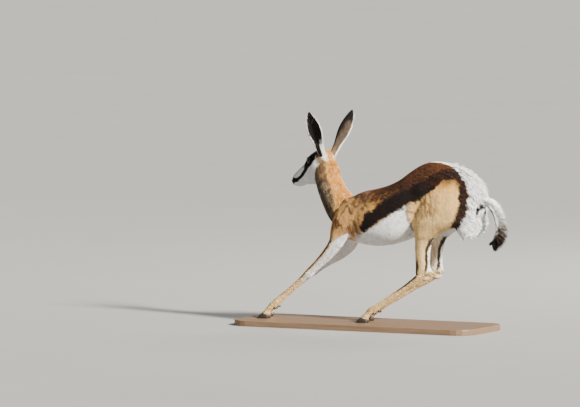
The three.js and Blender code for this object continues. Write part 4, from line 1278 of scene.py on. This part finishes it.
def ear_surface(ear_axes, count=64, arc=30):
    """Rings of one ear, with each point's share of the length, place across, and 1 inside the cup."""
    root, axis, opening, across = ear_axes
    rings, facts = [], []
    out_t = np.linspace(-1, 1, arc)
    in_t = np.linspace(1, -1, arc)[1:-1]
    for share, half, deep, filled in smooth(EAR, count):
        fill = min(max(filled, 0), 1)
        half, deep = half - 0.6, deep - 0.6
        centre = root + axis * share * (EAR_LENGTH - 1) + opening * 5 * math.sin(math.pi * share)
        bow = np.cos(out_t * math.pi / 2) ** 1.1
        outer = centre + np.outer(half * np.sin(out_t * math.pi / 2), across) - np.outer(deep * bow, opening)
        bow = np.cos(in_t * math.pi / 2) ** 1.1
        cup = -(deep - EAR_SKIN_THICK) * bow + 0.5
        plug = 0.35 * deep * bow + 0.5
        width = (half - EAR_SKIN_THICK * 0.5) * np.sin(in_t * math.pi / 2)
        inner = centre + np.outer(width, across) + np.outer(cup + (plug - cup) * fill, opening)
        rings.append(np.concatenate([outer, inner]))
        facts.append(np.stack([np.full(2 * arc - 2, share), np.concatenate([out_t, in_t]),
                               np.concatenate([np.zeros(arc), np.ones(arc - 2)])], 1))
    points, faces = skinned(rings)
    facts = np.concatenate([*facts, [[0, 0, 0]], [[1, 0, 0]]])
    return points, faces, facts


def ear_colours(points, facts, c, front):
    """Grey-fawn outside with a dark front edge and tip and a pale back edge that is partly painted highlight,
    dark inside with a pale rim.
    """
    share, across, inside = facts.T
    rough = waves(points, 9, 51)
    front_edge, back_edge = across * front, -across * front
    outside = painted(c, "ear", len(points), (
        ("brown", 0.45 + ramp(0.3, 0.9, rough) * 0.3),
        ("tan", ramp(0.2, 0.1, share + 0.04 * rough) * 0.2),
        ("black", ramp(-0.3, 0.4, front_edge + 0.8 * (share - 0.5) + 0.06 * rough) * ramp(0.04, 0.12, share)
         * 0.95),
        # The pale back edge: partly pale hair and partly painted highlight where light catches the rim
        ("white", ramp(0.72, 0.9, back_edge + 0.05 * rough) * ramp(0.95, 0.85, share) * 0.9),
        ("black", ramp(0.7, 0.82, share + 0.02 * rough) * ramp(0.98, 0.9, back_edge)),
    ))
    hollow = painted(c, "ear_inside", len(points), (
        ("white", ramp(0.82, 0.9, np.abs(across) + 0.04 * rough) * ramp(0.98, 0.9, share)),
        ("ear", ramp(0.3, 1.0, rough) * ramp(0.68, 0.78, share) * 0.5),
        ("white", ramp(0.4, 0.26, share + 0.05 * rough) * ramp(0.3, 0.6, back_edge + 0.3)),
        ("black", ramp(0.955, 0.985, front_edge) * ramp(0.7, 0.6, share)),
        ("black", ramp(0.93, 0.99, share)),
    ))
    return outside * (1 - inside[:, None]) + hollow * inside[:, None]


# Finishes
def new_material(name, roughness, coat=0.0, sheen=0.0, level=0.3):
    """A material with its own shader, and a maker of nodes that are joined by name."""
    material = bpy.data.materials.new(name)
    material.use_nodes = True
    nodes, links = material.node_tree.nodes, material.node_tree.links
    nodes.clear()
    shader = nodes.new("ShaderNodeBsdfPrincipled")
    output = nodes.new("ShaderNodeOutputMaterial")
    links.new(shader.outputs["BSDF"], output.inputs["Surface"])
    shader.inputs["Roughness"].default_value = roughness
    shader.inputs["Coat Weight"].default_value = coat
    shader.inputs["Coat Roughness"].default_value = 0.06
    shader.inputs["Sheen Weight"].default_value = sheen
    shader.inputs["Sheen Roughness"].default_value = 0.5
    shader.inputs["Specular IOR Level"].default_value = level

    def node(kind, settings=None, **inputs):
        made = nodes.new("ShaderNode" + kind)
        for key, value in (settings or {}).items():
            setattr(made, key, value)
        for key, value in inputs.items():
            socket = (made.inputs[int(key[1:])] if key[0] == "i" and key[1:].isdigit()
                      else made.inputs[key.replace("_", " ")])
            if isinstance(value, bpy.types.NodeSocket):
                links.new(value, socket)
            else:
                socket.default_value = value
        return made

    def wire(value, socket):
        links.new(value, shader.inputs[socket])

    return material, node, wire


def noise(node, scale, stretch=(1, 1, 1), detail=4.0, rough=0.55):
    place = node("TexCoord")
    spread_out = node("Mapping", i0=place.outputs["Object"], i3=stretch)
    return node("TexNoise", i0=spread_out.outputs[0], Scale=scale, Detail=detail,
                Roughness=rough).outputs["Fac"]


def mixed(node, mode, share, first, second):
    """Two colours mixed or multiplied, where each value is a number, a colour or another node's output."""
    made = node("Mix", {"data_type": "RGBA", "blend_type": mode})
    for value, index in ((share, 0), (first, 6), (second, 7)):
        if isinstance(value, bpy.types.NodeSocket):
            made.id_data.links.new(value, made.inputs[index])
        else:
            made.inputs[index].default_value = value
    return made.outputs[2]


def coat_material(name, tone, bump, roughness=0.72, fine=900.0):
    """Hair: the markings that the points carry, with fine streaks in colour, roughness and height."""
    material, node, wire = new_material(name, roughness, sheen=0.03, level=0.14)
    marks = node("Attribute", {"attribute_name": "coat_colour"}).outputs["Color"]
    streaks = noise(node, fine, (1, 1, 0.35), 3.0)
    patches = noise(node, 55.0)
    light = node("MapRange", i0=streaks, i1=0.3, i2=0.7, i3=1 - tone, i4=1 + tone).outputs[0]
    broad = node("MapRange", i0=patches, i1=0.3, i2=0.7, i3=1 - tone * 0.5, i4=1 + tone * 0.5).outputs[0]
    both = node("Math", {"operation": "MULTIPLY"}, i0=light, i1=broad).outputs[0]
    wire(mixed(node, "MULTIPLY", 1.0, marks, both), "Base Color")
    wire(node("MapRange", i0=streaks, i3=roughness - 0.1, i4=roughness + 0.12).outputs[0], "Roughness")
    wire(node("Bump", Strength=bump, Distance=0.0006, Height=streaks).outputs[0], "Normal")
    return material


def bare_material(name, roughness, bump, scale, coat, level=0.5):
    """Bare skin and horn: the points' own colour, with a fine grain."""
    material, node, wire = new_material(name, roughness, coat=coat, level=level)
    marks = node("Attribute", {"attribute_name": "coat_colour"}).outputs["Color"]
    grain = noise(node, scale, (1, 1, 2.5), 5.0)
    wire(mixed(node, "MULTIPLY", 1.0, marks,
               node("MapRange", i0=grain, i1=0.3, i2=0.7, i3=0.8, i4=1.2).outputs[0]), "Base Color")
    wire(node("MapRange", i0=grain, i3=max(roughness - 0.06, 0.02), i4=roughness + 0.1).outputs[0],
         "Roughness")
    wire(node("Bump", Strength=bump, Distance=0.0005, Height=grain).outputs[0], "Normal")
    return material


def stand_material(colour):
    """Stained wood with a satin finish, its grain along the stand."""
    material, node, wire = new_material("stained_wood", 0.42, level=0.4)
    grain = noise(node, 14.0, (0.5, 9, 9), 8.0, 0.62)
    pores = noise(node, 130.0, (0.12, 3, 3), 3.0)
    dark = [c * 0.55 for c in colour] + [1]
    base = mixed(node, "MIX", grain, dark, [c * 1.35 for c in colour] + [1])
    wire(mixed(node, "MULTIPLY", 0.45, base,
               node("MapRange", i0=pores, i1=0.35, i2=0.6, i3=0.6, i4=1.05).outputs[0]), "Base Color")
    wire(node("MapRange", i0=grain, i3=0.36, i4=0.52).outputs[0], "Roughness")
    wire(node("Bump", Strength=0.25, Distance=0.0004, Height=pores).outputs[0], "Normal")
    return material


def colour(name, description, default):
    """A colour that can be chosen in the panel."""
    return FloatVectorProperty(name=name, description=description, default=default, subtype="COLOR", size=3,
                               min=0, max=1)


class LambColours(bpy.types.PropertyGroup):
    """Colours of the coat's markings and of the bare parts."""

    tan: colour("Tan", "Sides of the neck, shoulders and thighs", (0.64, 0.35, 0.09))
    orange: colour("Nape", "Warm colour down the nape", (0.56, 0.22, 0.03))
    rufous: colour("Back", "Red-brown of the back", (0.125, 0.036, 0.010))
    brown: colour("Brown", "Dark brown of the crest and forehead", (0.03, 0.012, 0.006))
    black: colour("Dark band", "Band on the flank, face stripe and tuft of the tail", (0.004, 0.0022, 0.0015))
    white: colour("White", "Face, belly and rump", (0.92, 0.91, 0.89))
    cream: colour("Cream", "Pale edges of the tan", (0.84, 0.61, 0.28))
    leg: colour("Legs", "Lower legs", (0.82, 0.58, 0.28))
    ear: colour("Ears", "Outside of the ears", (0.15, 0.115, 0.08))
    ear_inside: colour("Inside of the ears", "Dark skin in the cups", (0.008, 0.006, 0.005))
    nose: colour("Nose", "Bare nose and lips", (0.012, 0.009, 0.009))
    horn: colour("Hooves", "Horn of the hooves", (0.028, 0.02, 0.016))
    eye: colour("Eyes", "Iris", (0.012, 0.006, 0.004))
    stand: colour("Stand", "Stain of the wood", (0.20, 0.125, 0.07))


class LambCoat(bpy.types.PropertyGroup):
    """How finely the skin and coat are made."""

    skin_mesh: FloatProperty(name="Skin mesh", description="Size of the skin's faces", subtype="DISTANCE",
                             unit="LENGTH", default=0.002, min=0.001, max=0.006)
    density: FloatProperty(name="Density", description="Tufts over the body, as a share of the usual number",
                           default=1.0, min=0.1, max=1.2)
    fringe: IntProperty(name="Tail fringe", description="Tufts down the outer side of the tail", default=3200,
                        min=100, max=12000)


class LambStudio(bpy.types.PropertyGroup):
    """Where the camera and lights stand."""

    azimuth: FloatProperty(name="Azimuth", description="The camera's way round the lamb, in degrees",
                           default=27.0)
    elevation: FloatProperty(name="Elevation", description="The camera's height over the horizon, in degrees",
                             default=4.0)
    distance: FloatProperty(name="Distance", description="From the camera to the lamb", subtype="DISTANCE",
                            unit="LENGTH", default=20.0)
    wide: FloatProperty(name="Width in view", description="How much of the scene the picture is wide",
                        subtype="DISTANCE", unit="LENGTH", default=1.798)
    light: FloatProperty(name="Light", description="Strength of the lights", default=1.0, min=0)


def colours():
    """The chosen colours by name."""
    group = bpy.context.scene.lamb_colours
    return {name: np.array(tuple(getattr(group, name))) for name in LambColours.__annotations__}


SHARED = {}  # the skin, which the coat is grown on


class LambSkinOperator(bpy.types.Operator):
    """Makes the one skin of the head, neck, body, legs and tail, with its markings"""

    bl_idname = "lamb.skin"
    bl_label = "Skin"

    def execute(self, context):
        made = body_skin()
        skin = made.piece
        paint = coat_colours(made.points, made.normals, made.kinds, made.shares, colours())
        dress(skin, paint * 0.9, coat_material("short_hair", 0.12, 0.5))
        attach(skin, "root")
        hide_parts("head", "neck", "torso", "rump", "tail", "thigh_left", "thigh_right",
                    *[f"{leg}_{word}_{half}" for leg in ("foreleg", "hindleg") for word, _ in HANDS
                      for half in ("upper", "lower")])
        SHARED["skin"] = made
        return {"FINISHED"}


class LambCoatOperator(bpy.types.Operator):
    """Grows the tufts of the coat over the skin, and the fringe of the tail"""

    bl_idname = "lamb.coat"
    bl_label = "Coat"

    def execute(self, context):
        if "skin" not in SHARED:
            raise RuntimeError("make the skin first")
        hair = coat_material("hair", 0.14, 0.35)
        grow_coat(SHARED["skin"], colours(), hair)
        tail_fringe(colours(), hair)
        return {"FINISHED"}


class LambEarsOperator(bpy.types.Operator):
    """Makes both ears as thin cups, with hair outside and pale hair round their rims"""

    bl_idname = "lamb.ears"
    bl_label = "Ears"

    def execute(self, context):
        draw = np.random.default_rng(9)
        velvet = coat_material("ear_velvet", 0.12, 0.5)
        for word, hand in HANDS:
            ear_axes = ear_frame(hand)
            points, faces, facts = ear_surface(ear_axes)
            ear = new_piece(f"ear_{word}_skin", points, faces, "ear_coat", [f"ear_{word}"])
            front = 1 if ear_axes[3] @ head_way(1, 0, 0) > 0 else -1
            paint = ear_colours(points, facts, colours(), front)
            dress(ear, paint * 0.9, velvet)
            share, over, inside = facts.T
            density = np.where(inside > 0.5, 0.1 + 0.5 * ramp(0.62, 0.9, np.abs(over)), 0.36)
            _, blend = roots_on(points, triangles(ear.data), density, draw)
            spot, normal = blend(points), unit(blend(vertex_normals(ear.data)))
            along_ear = np.tile(ear_axes[1], (len(spot), 1))
            lie = flat_to(along_ear + 0.16 * draw.normal(size=(len(spot), 3)), normal)
            within, aside = blend(inside), np.abs(blend(over))
            rim = within * ramp(0.6, 0.85, aside)
            long = (5.5 + 5 * rim) * draw.uniform(0.8, 1.2, len(spot)) * ramp(1.02, 0.9, blend(share)) + 1
            rise = np.where(within > 0.5, 0.5 + 1.2 * rim, 0.45)
            tone = varied(blend(paint), spot, draw, 0.12)
            turn = np.where(within > 0.5, 1.0, -1.0) * (aside * 0.4 + 0.1) * math.pi
            place = on_chart([f"ear_{word}"] * len(spot), blend(share), turn)
            tuft_piece(f"coat_ear_{word}", "ear_coat", velvet, spot, normal, lie, long, 1.0, rise, 200,
                       tone * 0.9, np.clip(tone * 1.1, 0, 0.95), place, SHORT_TUFT)
        return {"FINISHED"}


def lid_line(hand, turn, radius):
    """Points along the edge of the lids, this far from the middle of the eye."""
    way, side, up = eye_axes(hand)
    narrow = np.sign(np.sin(turn)) * np.abs(np.sin(turn)) ** 1.25
    flat = np.outer(EYE_SLIT[0] * np.cos(turn), side) + np.outer(EYE_SLIT[1] * narrow, up)
    lift = np.sqrt(np.maximum(radius ** 2 - (flat ** 2).sum(1), 16))
    return eye_centre(hand) + flat + np.outer(lift, way)


def lid_rim(hand):
    """A thin tube along the edge of the lids."""
    line = lid_line(hand, np.linspace(0, 2 * math.pi, LID_POINTS, endpoint=False), LID_RADIUS)
    around = np.linspace(0, 2 * math.pi, 9)[:-1]
    k = np.arange(8)
    rings, quads = [], []
    for i in range(LID_POINTS):
        after = (i + 1) % LID_POINTS
        run = unit(line[after] - line[i - 1])
        out = unit(line[i] - eye_centre(hand))
        aside = np.cross(run, out)
        rings.append(line[i] + 0.95 * (np.outer(np.cos(around), aside)
                                       + 0.8 * np.outer(np.sin(around), out)))
        quads.append(np.stack([i * 8 + k, i * 8 + (k + 1) % 8, after * 8 + (k + 1) % 8, after * 8 + k], 1))
    return np.concatenate(rings), np.concatenate(quads)


def lashes(name, hand, colour, material, draw):
    """Stiff hairs along the upper lid."""
    way, side, up = eye_axes(hand)
    turn = draw.uniform(0.12, 0.88, LASHES) * math.pi
    lie = unit(np.tile(way * 0.55 + up * 0.45, (LASHES, 1)) + np.outer(np.cos(turn) * 0.3, side)
               + 0.06 * draw.normal(size=(LASHES, 3)))
    normal = flat_to(np.tile(up, (LASHES, 1)), lie)
    dark = np.tile(colour, (LASHES, 1))
    place = on_chart(["head"] * LASHES, np.full(LASHES, 0.36), np.full(LASHES, 1.2 * hand))
    tuft_piece(name, "face_coat", material, lid_line(hand, turn, LASH_RADIUS), normal, lie,
               draw.uniform(3.5, 5.5, LASHES), 0.45, 0.6, 9, dark, dark, place, LONG_TUFT)


class LambEyesOperator(bpy.types.Operator):
    """Makes the wet, dark eyeballs, the rims of the lids and the lashes"""

    bl_idname = "lamb.eyes"
    bl_label = "Eyes"

    def execute(self, context):
        c = colours()
        wet = bare_material("wet_eye", 0.05, 0.01, 900.0, 0.1, 0.08)
        damp = bare_material("lid_rim", 0.35, 0.3, 1500.0, 0.3)
        draw = np.random.default_rng(3)
        for word, hand in HANDS:
            centre = eye_centre(hand)
            way, side, up = eye_axes(hand)
            points, faces = ovoid(centre, (way, side, up), [EYE_RADIUS - 0.1] * 3, 48, 32)
            ball = new_piece(f"eyeball_{word}", points, faces, "eye", [f"eye_{word}"])
            offset = (points - centre) / EYE_RADIUS
            s, u = offset @ side, offset @ up
            pupil = ramp(1.15, 0.85, np.sqrt((s / 0.42) ** 2 + (u / 0.26) ** 2)) * (offset @ way > 0)
            rim = ramp(0.62, 0.75, np.sqrt(s ** 2 + u ** 2))
            dress(ball, c["eye"] * (1 - 0.9 * np.maximum(pupil, rim))[:, None], wet)
            tube, quads = lid_rim(hand)
            rim_piece = new_piece(f"lid_rim_{word}", tube, quads, "face_coat")
            dress(rim_piece, np.tile(c["nose"], (len(tube), 1)), damp)
            lashes(f"lashes_{word}", hand, c["nose"], damp, draw)
        return {"FINISHED"}


def claws(at):
    """Both claws of a hoof: points, faces and how high each point is, from the sole to the coronet."""
    floor = STAND_TOP + GAP
    turn = 2 * math.pi * (np.arange(CLAW_POINTS) + 0.5) / CLAW_POINTS
    rise = np.sign(np.sin(turn)) * np.abs(np.sin(turn)) ** (2 / 2.3)
    across = np.sign(np.cos(turn)) * np.abs(np.cos(turn)) ** (2 / 2.3)
    shapes = []
    for side in (LEFT, RIGHT):
        rings = []
        for share in CLAW_LEVELS:
            front = HOOF_TOE + (CORONET_FRONT - HOOF_TOE) * min(share, 1) ** 0.95 - (1.2 if share == 0 else 0)
            back = HOOF_HEEL + (CORONET_BACK - HOOF_HEEL) * share
            half = CLAW_HALF * (1 - 0.1 * share) * (0.6 if share > 1 else 1) - (0.5 if share == 0 else 0)
            x = at[0] - (front + back) / 2 - rise * (front - back) / 2 * (0.6 if share > 1 else 1)
            y = at[1] + side * (CLAW_APART + across * half - 2.6 * np.maximum(np.sin(turn), 0) ** 3)
            ridge = 0.25 * math.sin(share * 34) * (0 < share < 1)
            top = at[2] - CORONET_TILT * (x - at[0])
            z = floor + (top - floor) * min(share, 1.02)
            rings.append(np.stack([x, y + side * ridge * np.sign(across), z], 1))
        shapes.append(skinned(rings))
    points, faces = merged(shapes)
    heights = np.concatenate([np.repeat(CLAW_LEVELS, CLAW_POINTS), [0, CLAW_LEVELS[-1]]])
    return points, faces, np.tile(heights, 2)


class LambHoovesOperator(bpy.types.Operator):
    """Makes the four cloven hooves, their heels and the dewclaws"""

    bl_idname = "lamb.hooves"
    bl_label = "Hooves"

    def execute(self, context):
        horn = bare_material("horn", 0.42, 0.5, 420.0, 0.15)
        colour = colours()["horn"]
        for word, hand in HANDS:
            for name, kind in (("fore", "fore"), ("hind", "cannon")):
                self.hoof(f"{name}_{word}", leg_rows(kind, hand), colour, horn)
        return {"FINISHED"}

    def hoof(self, name, rows, colour, horn):
        """One hoof with the bulbs of its heel, and the pair of dewclaws above it."""
        at = np.array(rows[-2][:3], float)
        points, faces, high = claws(at)
        bulbs = merged([
            ovoid(at + [7.5, side * 5.6, -6.5], np.eye(3), HEEL_REACH, 20, 12) for side in (LEFT, RIGHT)])
        tone = np.concatenate([0.7 + 1.1 * np.clip(high, 0, 1) ** 2, np.full(len(bulbs[0]), 1.5)])
        points, faces = merged([(points, faces), bulbs])
        points[:, 2] = np.maximum(points[:, 2], STAND_TOP + GAP)
        hoof = new_piece(f"hoof_horn_{name}", points, faces, "hoof", [f"hoof_{name}"])
        dress(hoof, colour * tone[:, None], horn)
        x, y, z, _, deep, _ = rows[-4]
        tilt = turned("y", 28.6).T
        points, faces = merged([
            ovoid(np.array([x + deep * 0.72, y + side * 6.2, z - deep * 0.7]), tilt, DEWCLAW_REACH, 16, 10)
            for side in (LEFT, RIGHT)])
        dew = new_piece(f"dewclaws_{name}", points, faces, "hoof")
        dress(dew, np.tile(colour * 1.4, (len(points), 1)), horn)


class LambStandOperator(bpy.types.Operator):
    """Gives the stand its stained wood"""

    bl_idname = "lamb.stand"
    bl_label = "Stand"

    def execute(self, context):
        put_on(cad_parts["stand_base"], stand_material(colours()["stand"]))
        return {"FINISHED"}


# Where the camera aims, left of the middle and up, and its sensor in millimetres
AIM_LEFT, AIM_UP = 0.341, 0.353
SENSOR = 36
# Name, kind, place, size, power and tint of each light, and the spot that they shine on
LIGHTS = (
    ("key_light", "SUN", (4.0, -1.35, 2.7), 0.12, 14, (1.0, 0.95, 0.87)),
    ("fill_light", "AREA", (-2.8, -2.6, 1.6), 2.6, 12, (0.88, 0.93, 1.0)),
    ("rim_light", "AREA", (0.8, 3.0, 2.4), 1.6, 110, (1.0, 0.97, 0.92)),
)
LIT_AT = (0.0, 0.0, 0.3)
SKY_COLOUR = (0.78, 0.80, 0.84, 1)
SKY_LIGHT = 0.33
FLOOR_HALF = 70
FLOOR_TONES = ((0.32, 0.315, 0.305, 1), (0.35, 0.345, 0.335, 1))


def aimed(name, data, place, way):
    """A camera or lamp at a place, looking a way."""
    made = placed(name, data)
    made.location = place
    made.rotation_mode = "QUATERNION"
    made.rotation_quaternion = Vector(way).to_track_quat("-Z", "Y")
    return made


class LambStudioOperator(bpy.types.Operator):
    """Sets the camera, the soft lights and the pale floor"""

    bl_idname = "lamb.studio"
    bl_label = "Studio"

    def execute(self, context):
        set_up = context.scene.lamb_studio
        a, e = math.radians(set_up.azimuth), math.radians(set_up.elevation)
        back = np.array([math.sin(a) * math.cos(e), -math.cos(a) * math.cos(e), math.sin(e)])
        right = np.array([math.cos(a), math.sin(a), 0])
        up = np.cross(back, right)
        origin = in_frame(np.zeros(3))
        aim = origin - right * AIM_LEFT + up * AIM_UP
        camera = aimed("camera", bpy.data.cameras.new("camera"), aim + back * set_up.distance, -back)
        camera.data.sensor_width = SENSOR
        camera.data.lens = SENSOR * set_up.distance / set_up.wide
        camera.data.clip_end = 100
        context.scene.camera = camera
        for name, kind, place, size, power, tint in LIGHTS:
            lamp = bpy.data.lights.new(name, kind)
            if kind == "SUN":
                lamp.angle = size
            else:
                lamp.shape = "DISK"
                lamp.size = size
            lamp.energy = power * set_up.light
            lamp.color = tint
            aimed(name, lamp, place, np.array(LIT_AT) - np.array(place))
        world = bpy.data.worlds.new("studio")
        world.use_nodes = True
        sky = world.node_tree.nodes["Background"]
        sky.inputs["Color"].default_value = SKY_COLOUR
        sky.inputs["Strength"].default_value = SKY_LIGHT * set_up.light
        context.scene.world = world
        mesh = bpy.data.meshes.new("floor")
        corners = [(x * FLOOR_HALF, y * FLOOR_HALF, 0) for x, y in ((-1, -1), (1, -1), (1, 1), (-1, 1))]
        mesh.from_pydata(corners, [], [(0, 1, 2, 3)])
        floor = placed("floor", mesh)
        material, node, wire = new_material("pale_floor", 0.85, level=0.1)
        wire(mixed(node, "MIX", noise(node, 1.5), *FLOOR_TONES), "Base Color")
        put_on(floor, material)
        return {"FINISHED"}


OPERATORS = (LambStudioOperator, LambSkinOperator, LambCoatOperator, LambEarsOperator, LambEyesOperator,
             LambHoovesOperator, LambStandOperator)


class LambPanel(bpy.types.Panel):
    """The lamb's sizes, colours and pieces"""

    bl_idname = "VIEW3D_PT_springbok_lamb"
    bl_label = "Springbok lamb"
    bl_space_type = "VIEW_3D"
    bl_region_type = "UI"
    bl_category = "Springbok"

    def draw(self, context):
        for group in (context.scene.lamb_coat, context.scene.lamb_colours, context.scene.lamb_studio):
            box = self.layout.box()
            for name in type(group).__annotations__:
                box.prop(group, name)
        for operator in OPERATORS:
            self.layout.operator(operator.bl_idname)


GROUPS = (("lamb_colours", LambColours), ("lamb_coat", LambCoat), ("lamb_studio", LambStudio))


def register():
    """Adds the settings, operators and panel."""
    for name, group in GROUPS:
        bpy.utils.register_class(group)
        setattr(bpy.types.Scene, name, PointerProperty(type=group))
    for kind in (*OPERATORS, LambPanel):
        bpy.utils.register_class(kind)


def unregister():
    """Takes them away again."""
    for kind in (LambPanel, *reversed(OPERATORS)):
        bpy.utils.unregister_class(kind)
    for name, group in reversed(GROUPS):
        delattr(bpy.types.Scene, name)
        bpy.utils.unregister_class(group)


def main():
    """Adds the settings, operators and panel, and makes every piece."""
    register()
    for operator in OPERATORS:
        group, name = operator.bl_idname.split(".")
        getattr(getattr(bpy.ops, group), name)()


if __name__ == "__main__":
    main()
